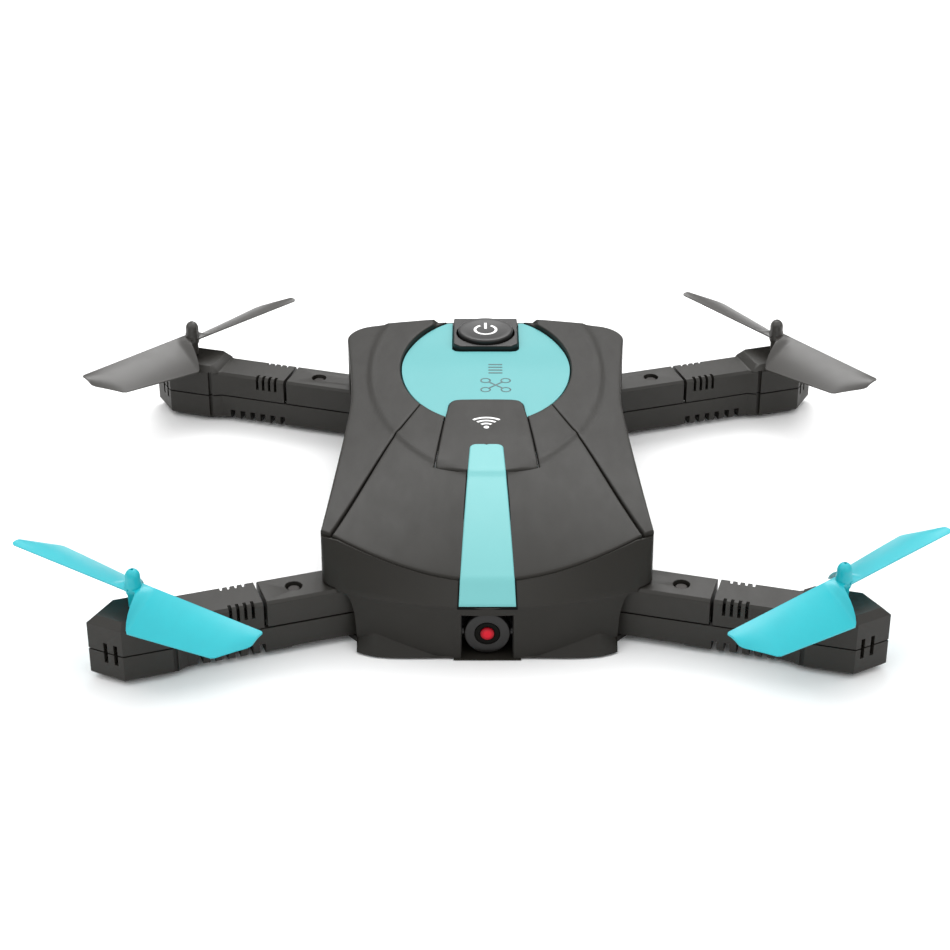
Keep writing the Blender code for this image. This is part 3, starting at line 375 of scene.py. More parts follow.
def raised_step(x, y):
    """STEP_HEIGHT inside the ellipse round the cover, 0 outside, and a fine bell-shaped bead along it."""
    size = np.sqrt((x / STEP_SIDE) ** 2 + ((y - STEP_CENTRE) / STEP_LENGTH) ** 2)
    inside = (1 - size) * STEP_SIDE
    step = STEP_HEIGHT * smoothstep((inside + 0.5) / STEP_WIDTH)
    return step + BEAD_HEIGHT * np.exp(-((inside / BEAD_WIDTH) ** 2))


def canopy_height(x, y):
    """The crowned surface with the raised step on it."""
    return plain_height(x, y) + raised_step(x, y)


print("crown", plain_height(0, 20), "nose seam", round(float(plain_height(0, SEAM_FRONT)), 2))

# %% [markdown]
# ## Panels between seams
#
# A panel is bounded by four curves: two long sides and two ends. A Coons patch fills them: it adds the
# blend between the sides to the blend between the ends and takes away the blend between the corners, which
# was counted twice. Points crowd together along the edges, where the surface rolls over on a small radius.
# That rolled edge catches a fine line of light, and it is what tells the eye that two panels meet.

# %% Coons patches with rolled edges
ROLL = 0.42
NEAR_EDGE = np.array([0.0, 0.04, 0.12, 0.24, 0.42])


def spaced(length, step=0.9, knots=()):
    """Fractions along a side: close together at its ends, about step apart between, and at every knot."""
    near = NEAR_EDGE / length
    middle = np.linspace(near[-1], 1 - near[-1], max(int(length / step), 3))
    return np.unique(np.round(np.concatenate([near, middle, 1 - near, np.array(knots, float)]), 7))


def along(points, u, knots=None):
    """A line through points, read at fractions u; knots gives each point's fraction."""
    points = np.array(points, float)
    if knots is None:
        walked = np.concatenate([[0], np.cumsum(np.linalg.norm(np.diff(points, axis=0), axis=1))])
        knots = walked / walked[-1]
    return np.stack([np.interp(u, knots, points[:, k]) for k in range(points.shape[1])], axis=-1)


def coons(side_a, side_b, end_a, end_b, u, v):
    """P = (1-v) A(u) + v B(u) + (1-u) C(v) + u D(v) - the bilinear blend of the four corners."""
    u, v = u[:, None, None], v[None, :, None]
    sides = (1 - v) * side_a[:, None] + v * side_b[:, None]
    ends = (1 - u) * end_a[None] + u * end_b[None]
    first = (1 - v) * side_a[0] + v * side_b[0]
    last = (1 - v) * side_a[-1] + v * side_b[-1]
    return sides + ends - (1 - u) * first - u * last


def edge_distance(plan, free):
    """Distance walked along grid lines to the nearest free edge; free lists which of the four are free."""
    across = np.linalg.norm(np.diff(plan, axis=1), axis=2)
    down = np.linalg.norm(np.diff(plan, axis=0), axis=2)
    zero_row, zero_column = np.zeros((1, plan.shape[1])), np.zeros((plan.shape[0], 1))
    from_a = np.concatenate([zero_column, np.cumsum(across, axis=1)], axis=1)
    from_start = np.concatenate([zero_row, np.cumsum(down, axis=0)], axis=0)
    from_b, from_end = from_a[:, -1:] - from_a, from_start[-1:] - from_start
    ways = {"side_a": from_a, "side_b": from_b, "start": from_start, "end": from_end}
    return np.min([ways[side] for side in free], axis=0)


def rolled(distance, radius):
    """How far a surface has dropped at this distance from an edge that is rounded with this radius."""
    into = np.clip(radius - distance, 0, radius)
    return radius - np.sqrt(radius**2 - into**2)


ALL_FREE = ("side_a", "side_b", "start", "end")


def panel(plan, thickness, lift=0.0, free=ALL_FREE, radius=ROLL, height=canopy_height):
    """Points and faces of a panel over a plan grid: height plus lift, rolled down at its free edges."""
    z = height(plan[..., 0], plan[..., 1]) + lift
    top = np.dstack([plan, z - rolled(edge_distance(plan, free), radius)])
    return closed_grids(top, np.dstack([plan, z - thickness]))


def joined(*shapes):
    """Several shapes as one list of points and one of faces."""
    points, faces = [], []
    for shape_points, shape_faces in shapes:
        first = sum(len(p) for p in points)
        points.append(shape_points)
        faces += [[first + number for number in face] for face in shape_faces]
    return np.concatenate(points), faces


def both_sides(shape):
    """A shape and its mirror image in X."""
    points, faces = shape
    return joined((points, faces), (points * (-1, 1, 1), faces))


# %% [markdown]
# ## Hood, wings and cover
#
# The hood is moulded in one piece, but the teal strip hides its middle line, so it is made here as a right
# half and its mirror image. Its rear corner touches the oval of the cover. The wings run from the nose
# corners along the waist to the horns behind the cover.

# %% Curves that the panels share
COVER_SIDE, COVER_LENGTH = 19.4, 28.5
HOOD_CORNER, HOOD_JOG = (31.6, -43.6), (19.5, -4.2)
HOOD_MIDDLE = 0.3      # the right half stops just short of the middle line, under the strip
MODE_FRONT, MODE_SHOULDER, MODE_REAR = (11.0, -18.5), (9.2, 2.0), 11.0
MODE_NOSE, MODE_LIFT = -20.3, 0.08
HORN_TURN = 0.49       # angle of the cover's outline between the tail end and a horn


def oval(turn, margin=0.0):
    """The cover's outline: turn is 0 at its front end and pi at its rear."""
    turn = np.asarray(turn, float)
    x = (COVER_SIDE + margin) * np.sin(turn)
    return np.stack([x, COVER_LENGTH - (COVER_LENGTH + margin) * np.cos(turn)], axis=-1)


def turn_at(x):
    """The oval's angle where its front half has this x."""
    return float(np.arcsin(x / COVER_SIDE))


MODE_MEET, HOOD_MEET = turn_at(9.05), turn_at(14.4)
print("the hood's rear corner is at", oval(HOOD_MEET, SIDE_GAP).round(2))


# %% The hood
def hood_half():
    """Plan grid between the diagonal seam and the mode panel, from the arc seam back to the oval."""
    inner_points = [(HOOD_MIDDLE, SEAM_FRONT), (HOOD_MIDDLE, MODE_NOSE - SIDE_GAP),
                    (6.0, MODE_NOSE + 0.45 - SIDE_GAP),
                    (MODE_FRONT[0] + 0.42, MODE_FRONT[1] - 0.2), (MODE_SHOULDER[0] + 0.3, MODE_SHOULDER[1]),
                    tuple(oval(MODE_MEET, SIDE_GAP) + (0.15, 0.0))]
    inner_knots = [0.0, 0.42, 0.52, 0.62, 0.93, 1.0]
    rear = oval(HOOD_MEET, SIDE_GAP)
    outer_points = [HOOD_CORNER, HOOD_JOG, (18.6, -2.4), tuple(rear - (SIDE_GAP, 0.0))]
    outer_knots = [0.0, 0.70, 0.76, 1.0]
    u = spaced(60.0, 0.8, inner_knots + outer_knots)
    v = spaced(24.0, 0.7)
    side_a, side_b = along(outer_points, u, outer_knots), along(inner_points, u, inner_knots)
    x = HOOD_CORNER[0] + (HOOD_MIDDLE - HOOD_CORNER[0]) * v
    front = np.stack([x, seam_y(x) + (HOOD_CORNER[1] - seam_y(HOOD_CORNER[0])) * (1 - v) ** 6], axis=-1)
    back = oval(HOOD_MEET + (MODE_MEET - HOOD_MEET) * v, SIDE_GAP)
    back[0], back[-1] = side_a[-1], side_b[-1]
    return coons(side_a, side_b, front, back, u, v)


BODY = (BODY_BLACK, "body", "body_black")
HOOD_THICK = 1.4
hood = piece("hood", *both_sides(panel(hood_half(), HOOD_THICK)), *BODY)
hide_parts("hood_panel")
print("hood", len(hood.data.polygons), "faces")


# %% The wings
HORN = 12.4            # half the gap between the two horns behind the cover
HORN_DROP, HORN_SLOPE, HORN_START = 0.9, 0.5, 40.0
TAIL_END = 9.2
WING_THICK = 1.6


def wing_height(x, y):
    """The canopy's height, but between the horns the surface lies lower, down to the tail's edge."""
    between = smoothstep((HORN - np.abs(x)) / HORN_SLOPE) * (y > HORN_START)
    return canopy_height(x, y) - HORN_DROP * between


def wing():
    """Plan grid between the outer line, round the tail's corner, and the inner line along hood and cover."""
    side = np.linspace(NOSE_CORNER[1], TAIL[1] - TAIL_BOW - TAIL_ROUND, 30)
    back = np.linspace(TAIL[0] - TAIL_ROUND, TAIL_END, 20)[1:]
    tail = np.concatenate([TAIL[0] - TAIL_ROUND * (1 - np.cos(np.linspace(0.1, pi / 2, 9))), back])
    outer = np.concatenate([np.stack([half_width(side), side], 1), np.stack([tail, tail_y(tail)], 1)])
    turns = np.linspace(HOOD_MEET, pi - HORN_TURN - 0.005, 60)
    beside_hood = [(HOOD_CORNER[0] + 0.35, HOOD_CORNER[1] + 0.2), (HOOD_JOG[0] + 0.33, HOOD_JOG[1] + 0.1),
                   (18.95, -2.3)]
    inner = np.concatenate([beside_hood, oval(turns, SIDE_GAP) + ((0.12, 0.0),)])
    knots = np.concatenate([[0.0, 0.30, 0.315], 0.43 + 0.57 * np.linspace(0, 1, len(turns))])
    u = spaced(115.0, 1.0, knots[:4])
    v = spaced(14.0, 0.7)
    side_a, side_b = along(outer, u), along(inner, u, knots)
    ends = [side_a[i] + (side_b[i] - side_a[i]) * v[:, None] for i in (0, -1)]
    return coons(side_a, side_b, *ends, u, v)


wings = piece("wings", *both_sides(panel(wing(), WING_THICK, height=wing_height)), *BODY)
print("wings", len(wings.data.polygons), "faces")


# %% The cover and the panel that overlaps it
def mode_outline(turns):
    """The mode panel's right half, front to rear: a bowed front, a straight taper and a rounded rear."""
    corner = [(0, MODE_NOSE), (3.0, MODE_NOSE + 0.1), (6.0, MODE_NOSE + 0.45), (10.75, MODE_FRONT[1] - 0.15),
              MODE_FRONT, (10.97, -17.9), MODE_SHOULDER,
              (8.35, 8.6), (8.0, 9.8), (7.3, 10.6), (6.2, MODE_REAR),
              (3.0, MODE_REAR + 0.1), (0, MODE_REAR + 0.12)]
    return along(corner, turns)


def cover_plan():
    """Between the oval's front half, notched for the mode panel, and its rear half, notched for the plate."""
    meet = turn_at(8.9)
    front = [oval(t) for t in np.linspace(pi / 2, meet, 26)]
    front += [(8.72, 6.0), (8.5, 8.7), (8.15, 10.0), (7.4, 10.85)]
    front += [(6.2, MODE_REAR + 0.25), (0, MODE_REAR + 0.37)]
    plate = [(0, 37.7), (6.0, 37.7), (7.2, 38.0), (7.9, 39.2), (7.9, 53.7)]
    rear_turns = np.linspace(pi - HORN_TURN, pi / 2, 26)
    rear = [(8.9, 53.75)] + [oval(t) for t in rear_turns[1:]]
    half_front, half_rear = np.array(front), np.array(plate + rear)[::-1]
    knots = np.concatenate([np.linspace(0, 0.30, 26), [0.33, 0.345, 0.36, 0.375, 0.39, 0.5]])
    rear_knots = np.concatenate([np.linspace(0, 0.30, 25), [0.315, 0.325, 0.375, 0.39, 0.40, 0.5]])
    mirror = np.array([-1, 1])
    whole_front = np.concatenate([half_front, half_front[-2::-1] * mirror])
    whole_rear = np.concatenate([half_rear, half_rear[-2::-1] * mirror])
    u = spaced(62.0, 0.8, np.concatenate([knots, rear_knots, 1 - knots, 1 - rear_knots]))
    side_a = along(whole_front, u, np.concatenate([knots, 1 - knots[-2::-1]]))
    side_b = along(whole_rear, u, np.concatenate([rear_knots, 1 - rear_knots[-2::-1]]))
    v = spaced(30.0, 0.9)
    ends = [side_a[i] + (side_b[i] - side_a[i]) * v[:, None] for i in (0, -1)]
    return coons(side_a, side_b, *ends, u, v)


COVER_DROP, COVER_SINK = 0.15, 0.7
SINK_START, SINK_LENGTH = 26.0, 18.0
COVER_THICK, COVER_ROLL = 1.15, 0.3


def cover_height(x, y):
    """A little under the canopy, and lower still between the horns, so that their inner walls show."""
    return plain_height(x, y) - COVER_DROP - COVER_SINK * smoothstep((y - SINK_START) / SINK_LENGTH)


cover_shape = panel(cover_plan(), COVER_THICK, 0.0, ("side_a", "side_b"), COVER_ROLL, cover_height)
cover = piece("cover", *cover_shape, COVER_TEAL_SHADED, "body", "panel_teal")
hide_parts("rear_cover")


def fan(outline, centre, lift, thickness, height, radius=ROLL):
    """A plate that is polar in plan: rings shrink from the outline towards a centre with a small face."""
    v = spaced(9.0, 0.8)
    v = v[v < 0.9999]
    plan = outline[:, None] + (np.array(centre) - outline)[:, None] * (v * 0.98)[None, :, None]
    z = height(plan[..., 0], plan[..., 1]) + lift
    inward = np.cumsum(np.linalg.norm(np.diff(plan, axis=1), axis=2), axis=1)
    inward = np.concatenate([np.zeros((len(plan), 1)), inward], axis=1)
    top = np.dstack([plan, z - rolled(inward, radius)])
    bottom = np.dstack([plan, z - thickness])
    rows, columns = top.shape[:2]
    count = rows * columns
    points = np.concatenate([top.reshape(-1, 3), bottom.reshape(-1, 3)])
    first = np.arange(rows) * columns
    after = np.roll(first, -1)
    walls = np.stack([first, after, after + count, first + count], axis=1).tolist()
    caps = [(first + columns - 1).tolist(), (first + columns - 1 + count).tolist()]
    faces = quads(rows, columns, 0, True) + quads(rows, columns, count, True) + walls + caps
    return points, faces


half = mode_outline(np.linspace(0, 1, 60))
mode_ring = np.concatenate([half, half[-2:0:-1] * (-1, 1)])
mode = piece("mode_insert", *fan(mode_ring, (0, -5), MODE_LIFT, HOOD_THICK, canopy_height), *BODY)
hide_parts("mode_panel")
print("cover", len(cover.data.polygons), "mode insert", len(mode.data.polygons), "faces")

# %% [markdown]
# ## The strip over the nose
#
# A thin teal strip lies along the middle line, on a sheet of painted shadow. It starts with round corners on
# the mode panel, widens towards the nose, bends down with the nose band and ends on the crease. It is a long
# Coons patch whose height follows the crown first and the nose band after the seam. The painted-shadow sheet
# is the same shape, a little wider, lower and nearly black, and it stands in for the shade in the gap round
# the strip, as a fine dark line.

# %% The centre strip
STRIP_REAR, STRIP_REAR_X, STRIP_NOSE_X, STRIP_CORNER = -10.5, 3.65, 5.8, 1.2
STRIP_LIFT, STRIP_THICK, STRIP_ROLL = 0.34, 0.9, 0.32
SHADOW_MARGIN, SHADOW_LIFT, SHADOW_THICK, SHADOW_ROLL = 0.30, 0.06, 0.5, 0.1
CREASE_Y, CREASE_Z, CREASE_BOW = -55.2, 12.8, 6.8


def strip_height(x, y):
    """The canopy's middle line behind the arc seam, eased into the nose band's straight slope before it."""
    slope = (CREASE_Z - SEAM_HEIGHT) / (SEAM_FRONT - CREASE_Y)
    band = SEAM_HEIGHT + slope * (SEAM_FRONT - y)
    ease = smoothstep((y - SEAM_FRONT + 1.2) / 2.4)
    return band * (1 - ease) + canopy_height(x * 0.0, y) * ease


def strip_plan(margin=0.0, end=CREASE_Y + 0.25):
    """The right edge and its mirror image; margin widens the outline for the painted-shadow sheet round the
    strip.
    """
    round_x, round_y = STRIP_REAR_X - STRIP_CORNER, STRIP_REAR - STRIP_CORNER
    radius = STRIP_CORNER + margin
    rear = [(0, STRIP_REAR + margin), (round_x, STRIP_REAR + margin)]
    rear += [(round_x + radius * sin(a), round_y + radius * cos(a)) for a in np.linspace(0.3, pi / 2, 6)]
    side = rear + [(STRIP_NOSE_X + margin, end)]
    knots = [0, 0.03] + list(np.linspace(0.035, 0.06, 6)) + [1]
    u = spaced(45.0, 0.7, knots[1:-1])
    right = along(side, u, knots)
    v = spaced(9.0, 0.8)
    ends = [right[i] * (1 - 2 * v[:, None] * (1, 0)) for i in (0, -1)]
    return coons(right, right * (-1, 1), *ends, u, v)


strip_grid = strip_plan()
strip_shape = panel(strip_grid, STRIP_THICK, STRIP_LIFT, ALL_FREE, STRIP_ROLL, strip_height)
strip = piece("centre_inlay", *strip_shape, PANEL_TEAL, "body", "panel_teal")
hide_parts("centre_strip")
# Painted shadow: a nearly black sheet under the strip, a little wider, stands in for the shade in the gap
# round it.
shadow_sheet_grid = strip_plan(SHADOW_MARGIN, CREASE_Y + 0.1)
shadow_sheet_shape = panel(shadow_sheet_grid, SHADOW_THICK, SHADOW_LIFT, ALL_FREE, SHADOW_ROLL, strip_height)
piece("strip_shadow_sheet", *shadow_sheet_shape, SHADOW_BLACK, "body", "body_black")
print("strip from y", strip_grid[..., 1].max().round(1), "to", strip_grid[..., 1].min().round(1))

# %% [markdown]
# ## Walls: the nose and the tail
#
# An upright wall is a curtain. Its stations follow the side line in plan, and each station has a profile
# from its upper rail down to its foot. The openings for the arms and for the camera are open at the bottom,
# so they need no cutting: the curtain's lower hem simply rises over them. Two stations almost on top of
# each other make the upright side of an opening.


# %% A curtain wall
def smooth_line(points, count):
    """Catmull-Rom curve through points: each span is a cubic whose end slopes follow its neighbours."""
    p = np.array(points, float)
    p = np.concatenate([[2 * p[0] - p[1]], p, [2 * p[-1] - p[-2]]])
    t = np.linspace(0, 1, count, endpoint=False)[None, :, None]
    a, b, c, d = (p[k: len(p) - 3 + k, None] for k in range(4))
    curve = b + 0.5 * t * (c - a + t * (2 * a - 5 * b + 4 * c - d + t * (3 * (b - c) + d - a)))
    return np.concatenate([curve.reshape(-1, p.shape[1]), p[-2:-1]])


def curtain(profiles, hem, rows, thick, lip=None):
    """Outer grid read from profiles (stations, levels, xyz) down to each station's hem, and an inner grid.

    rows counts down from the top rail (0) over the profile's levels (1, 2 and so on)."""
    levels = np.arange(profiles.shape[1])
    spread = np.stack([[np.interp(rows, levels, station[:, k]) for k in range(3)] for station in profiles])
    outer = spread.transpose(0, 2, 1).copy()
    for station, profile, low in zip(outer, profiles, hem, strict=True):
        z = np.maximum(station[:, 2], low)
        from_foot = profile[::-1]
        station[:, 0] = np.interp(z, from_foot[:, 2], from_foot[:, 0])
        station[:, 1] = np.interp(z, from_foot[:, 2], from_foot[:, 1])
        station[:, 2] = z
    run = np.gradient(smooth_ends(profiles[:, 1, :2]), axis=0)
    inward = np.stack([-run[:, 1], run[:, 0]], axis=1)
    inward /= np.linalg.norm(inward, axis=1, keepdims=True)
    middle = len(inward) // 2
    inward *= -np.sign(inward[middle, 1] * profiles[middle, 1, 1])
    inner = outer.copy()
    inner[:, :, :2] += thick * inward[:, None]
    if lip is not None:
        inner[:, 0, :2] = outer[:, 0, :2] + lip * inward
    return closed_grids(outer, inner)


def smooth_ends(line):
    """The same line with stations that coincide nudged apart, so that it always has a direction."""
    step = np.linalg.norm(np.diff(line, axis=0, prepend=line[:1] - 1.0), axis=1)
    walked = np.cumsum(np.maximum(step, 0.01))
    even = np.linspace(walked[0], walked[-1], 60)
    coarse = np.stack([np.interp(even, walked, line[:, k]) for k in range(2)], axis=1)
    return np.stack([np.interp(walked, even, coarse[:, k]) for k in range(2)], axis=1)


def mirror_stations(right):
    """Stations for the whole wall from its right half, which ends on the middle line."""
    return np.concatenate([right, right[-2::-1] * (-1, 1, 1)])


# %% The nose shell
FOOT_Z, ARM_CLEAR = 0.4, 13.3
NOTCH_X, NOTCH_TOP = 5.35, 10.9
ARCH_START, ARCH_END = 26.8, 29.3
NOSE_HALF = 31.0       # where the front wall turns into the side wall
NOSE_GAP, FOLD, ARCH_FOOT = 0.28, 0.35, 2.6
FOOT_BACK, FOOT_BOW = 0.7, 5.6
# Each end of a facet: its x, and how far from there the facet reaches its peak.
FACET_INNER, FACET_OUTER = (10.5, 12.0), (28.8, 5.4)
FACET_HIGH, FACET_OUT = 3.4, 0.4


def front_station(x):
    """Profile of the front wall at x: seam, just above and below the crease, the facet's top, the foot.

    The wall above bows back with the square of x, and the foot with its sixth power, so the foot juts out
    towards its ends. The facet on it is a triangle: its top rises in a straight line to a peak and falls."""
    t = np.abs(x) / NOSE_HALF
    crease_y = CREASE_Y + CREASE_BOW * t**2
    seam = seam_y(x) - NOSE_GAP
    fold = FOLD * np.clip(1.2 - t, 0, 1)
    rise, fall = (np.abs(x) - FACET_INNER[0]) / FACET_INNER[1], (FACET_OUTER[0] - np.abs(x)) / FACET_OUTER[1]
    peak = np.clip(np.minimum(fall, rise), 0, 1)
    foot_y = CREASE_Y + FOOT_BACK + FOOT_BOW * t**6
    return np.stack([
        np.stack([x, seam, plain_height(x, seam) - 0.4], -1),
        np.stack([x, crease_y + fold, CREASE_Z + fold * 0.8 + 0 * x], -1),
        np.stack([x, crease_y + 0.04, CREASE_Z + 0 * x], -1),
        np.stack([x, crease_y + 0.12, CREASE_Z - 0.45 + 0 * x], -1),
        np.stack([x, crease_y + 0.5, FOOT_Z + 0.25 + FACET_HIGH * peak], -1),
        np.stack([x, np.minimum(foot_y, crease_y + 0.45) - FACET_OUT * peak, FOOT_Z + 0 * x], -1),
    ], axis=1)


def arch(x, start, end, low, high):
    """Height of an arched opening's edge: it stands upright at start and levels out at end."""
    t = np.clip((x - start) / (end - start), 0, 1)
    return low + (high - low) * np.sqrt(1 - (1 - t) ** 2)


def nose_stations():
    """Profiles and hem of the nose: forward along the side, round the corner, and to the middle."""
    x = np.unique(np.concatenate([np.linspace(0, 30.6, 46), [NOTCH_X, NOTCH_X + 0.02, ARCH_START - 0.02],
                                  np.linspace(ARCH_START, ARCH_END, 9)]))[::-1]
    front = front_station(x)
    side_y = np.array([-37.4, -40.0, NOSE_CORNER[1] + 0.8])
    top = [(half_width(y), y, plain_height(half_width(y), y) - 1.1) for y in side_y]
    low = [(half_width(y) + 0.05, y - 0.4, ARM_CLEAR + 1.2) for y in side_y]
    top += [(33.65, -43.6, 22.75), tuple(front[0, 0])]
    low += [(33.5, -46.0, CREASE_Z + 1.1), tuple(front[0, 2])]
    top_line, low_line = smooth_line(top, 6)[:-1], smooth_line(low, 6)[:-1]
    side = np.repeat(low_line[:, None], 6, axis=1)
    side[:, 0] = top_line
    blend_in = smoothstep(np.linspace(0, 1, len(side)))[:, None]
    for level in (1, 3, 4, 5):
        offset = front[0, level] - front[0, 2]
        side[:, level] = low_line + offset * blend_in
    side[:, 3:, 2] = np.array([ARM_CLEAR, ARM_CLEAR - 1, ARM_CLEAR - 2])
    stations = np.concatenate([side, front])
    hem_front = np.where(x > NOTCH_X + 0.01, FOOT_Z, NOTCH_TOP)
    arm_arch = arch(x, ARCH_START, ARCH_END, ARCH_FOOT, ARM_CLEAR - 0.6)
    hem_front = np.where(x > ARCH_START - 0.01, arm_arch, hem_front)
    hem = np.concatenate([np.full(len(side), ARM_CLEAR), np.maximum(hem_front, FOOT_Z)])
    return mirror_stations(stations), np.concatenate([hem, hem[-2::-1]])


BAND_ROWS = np.concatenate([[0, 0.03], np.linspace(0.1, 1, 8), [1.5], np.linspace(2, 3, 3)])
NOSE_ROWS = np.concatenate([BAND_ROWS, np.linspace(3.08, 4, 12), [4.5, 5]])
NOSE_THICK, NOSE_LIP = 1.1, 0.3
nose = piece("nose_skin", *curtain(*nose_stations(), NOSE_ROWS, NOSE_THICK, NOSE_LIP), *BODY, 30.0)
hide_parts("nose_shell")
print("nose", len(nose.data.polygons), "faces")


# %% The tail wall with the rear tongues
TAIL_OPEN = 27.9       # where the openings for the rear arms start
SKIN = 0.03            # how far the wall stands inside the wings' edge


def tail_stations():
    """Profiles and hem of the tail: back along the side, round the corner, and to the middle."""
    side_end = TAIL[1] - TAIL_BOW - TAIL_ROUND
    side = np.linspace(39.0, side_end, 9)
    turn = TAIL[0] - TAIL_ROUND * (1 - np.cos(np.linspace(0.12, pi / 2, 9)))
    even = np.linspace(0, TAIL[0] - TAIL_ROUND, 30)
    back = np.unique(np.concatenate([even, [TAIL_OPEN - 0.02, TAIL_END, TAIL_END + 0.02]]))[::-1][1:]
    x = np.concatenate([half_width(side), turn, back]) - SKIN
    x[-1] = 0.0
    y = np.concatenate([side, tail_y(np.concatenate([turn, back]))]) - SKIN
    high = wing_height(x, y) - np.where(x > TAIL_END, 0.8, 0.3)
    inset_and_height = ((0.0, high), (0.0, 12.0), (0.25, 1.6), (0.9, FOOT_Z))
    levels = [np.stack([x, y - inset, z + 0 * x], -1) for inset, z in inset_and_height]
    on_side = y < side_end + 0.1
    opening = (x + SKIN > TAIL_OPEN - 0.01) | on_side
    arm_arch = arch(np.maximum(x, TAIL_OPEN), TAIL_OPEN, TAIL_OPEN + 2.4, 4.0, ARM_CLEAR)
    hem = np.where(on_side, ARM_CLEAR, np.where(opening, arm_arch, FOOT_Z))
    return mirror_stations(np.stack(levels, axis=1)), np.concatenate([hem, hem[-2::-1]])


TAIL_ROWS = np.concatenate([np.linspace(0, 1, 8), np.linspace(1.1, 2, 8), [2.5, 3]])
tail = piece("tail_wall", *curtain(*tail_stations(), TAIL_ROWS, WING_THICK), *BODY, 30.0)
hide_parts("upper_shell")
print("tail wall", len(tail.data.polygons), "faces")


# %% The lip under the camera
LIP_X, LIP_Y, LIP_Z, LIP_ROLL = (-6.9, 6.9), (-54.9, -44.2), (0.1, 0.45), 0.12


def level(x, y):
    """Height 0 everywhere."""
    return np.zeros_like(x + y)


def slab(x, y, z, columns=24, rows=12):
    """A thin plate between pairs of x, y and z, with its front edge rolled."""
    plan = np.dstack(np.meshgrid(np.linspace(*x, columns), np.linspace(*y, rows), indexing="ij"))
    return panel(plan, z[1] - z[0], z[1], ("side_a",), LIP_ROLL, level)


lip = piece("tray_lip", *slab(LIP_X, LIP_Y, LIP_Z), *BODY)
print("tray lip", len(lip.data.polygons), "faces")

# %% [markdown]
# ## Pieces whose shape is already right
#
# The arms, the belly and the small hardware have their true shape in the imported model, but every edge there
# is knife-sharp, and nothing real is. A copy of each shell is merged into one surface, its flat faces are
# put back together, and a small bevel rounds its edges, so that they catch the light. The hardware only
# gets its finish.


# %% Rounded copies
def rounded(node, width_mm, material, body, segments=2, smooth_below=40.0):
    """A copy of a node with merged points, whole flat faces and bevelled edges, which replaces the node."""
    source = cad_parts[node]
    shape = bmesh.new()
    shape.from_mesh(source.data)
    bmesh.ops.remove_doubles(shape, verts=shape.verts, dist=3e-6)
    bmesh.ops.dissolve_limit(shape, angle_limit=radians(1.2), verts=shape.verts, edges=shape.edges)
    mesh = bpy.data.meshes.new(node + "_rounded")
    shape.to_mesh(mesh)
    shape.free()
    mesh.shade_smooth()
    mesh.set_sharp_from_angle(angle=radians(smooth_below))
    obj = bpy.data.objects.new(node + "_rounded", mesh)
    bpy.context.scene.collection.objects.link(obj)
    mesh.materials.clear()
    mesh.materials.append(material)
    edge = obj.modifiers.new("edge", "BEVEL")
    edge.width, edge.segments, edge.limit_method = width_mm * MM, segments, "ANGLE"
    edge.angle_limit, edge.harden_normals = radians(32), True
    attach(obj, body)
    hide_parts(node)
    return obj


for corner in CORNERS:
    for shell, width in (("arm_lower_shell", 0.28), ("arm_upper_shell", 0.22), ("arm_root_cover", 0.3)):
        rounded(f"{corner}_{shell}", width, ARM_BLACK, f"{corner}_arm")
for node, width in (("belly_tray", 0.2), ("battery_door", 0.25)):
    rounded(node, width, BODY_BLACK, "body")
rounded("power_plate", 0.3, SMOOTH_BLACK, "body")


# %% Finishes for the nodes that stay
def finish_node(node, material):
    """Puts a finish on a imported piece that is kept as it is."""
    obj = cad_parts[node]
    for index in range(len(obj.material_slots)):
        obj.material_slots[index].material = material
    if not obj.material_slots:
        obj.data.materials.append(material)


for corner in CORNERS:
    finish_node(f"{corner}_motor", MOTOR_CAN)
    for hardware in ("motor_shaft", "pivot_pin"):
        finish_node(f"{corner}_{hardware}", STEEL)
    finish_node(f"{corner}_arm_screw", DARK_STEEL)
for number in range(1, 5):
    finish_node(f"belly_screw_{number}", STEEL)
for node in ("inner_deck", "camera_bracket", "power_switch"):
    finish_node(node, INNER_GREY)
finish_node("main_board", BOARD)
finish_node("battery", FOIL)

# %% [markdown]
# ## Propellers
#
# A blade is a thin lofted strip. At each radius it has a chord, a pitch and a little camber; the pitch is
# steep at the root and washes out to the tip, because the tip moves faster. The blade's edges are thinned
# like an aerofoil. Two blades meet in a hub with a domed cap that has a small hole in its crown.

# %% Blade form
PROP_R, BLADE_TOP, BLADE_THICK = 32.0, 19.6, 0.8
LEAD_ROOT, LEAD_TAPER = 1.9, 0.4
CHORD_ROOT, CHORD_TAPER, STEM_CHORD = 9.4, 1.6, 1.5
ROOT_PITCH, WASHOUT, CAMBER = 30.0, 14.0, 0.5
TIP_LENGTH, TIP_ROUND, TIP_CHORD = 5.5, 0.9, 2.6
DOME_R, DOME_HEIGHT, DOME_TOP = 1.55, 1.75, 23.5
PROP_LINES = {"front_left": -34.0, "front_right": 220.0, "rear_left": 224.6, "rear_right": -51.5}


def blade_points(hand, r, t):
    """Chord line from leading (t = 1) to trailing edge (t = 0), turned by the pitch, plus a sine camber.

    The chord narrows in a straight line over the last TIP_LENGTH, which gives the clipped tip."""
    lead = LEAD_ROOT - LEAD_TAPER * r / PROP_R
    wide = CHORD_ROOT - CHORD_TAPER * r / PROP_R
    ramp = smoothstep((r - 1.6) / 3.2)
    clipped = np.clip(r - (PROP_R - TIP_LENGTH), 0, None) / TIP_LENGTH
    trail = -STEM_CHORD - (wide - STEM_CHORD) * ramp + clipped * (wide - TIP_CHORD)
    pitch = np.radians(ROOT_PITCH - WASHOUT * r / PROP_R) * ramp
    c = trail + (lead - trail) * t
    flat = lead - (lead - c) * np.cos(pitch)
    z = BLADE_TOP - (lead - c) * np.sin(pitch) + CAMBER * np.sin(pi * t) * ramp
    return np.stack([r + 0 * t, hand * flat, z], axis=-1)


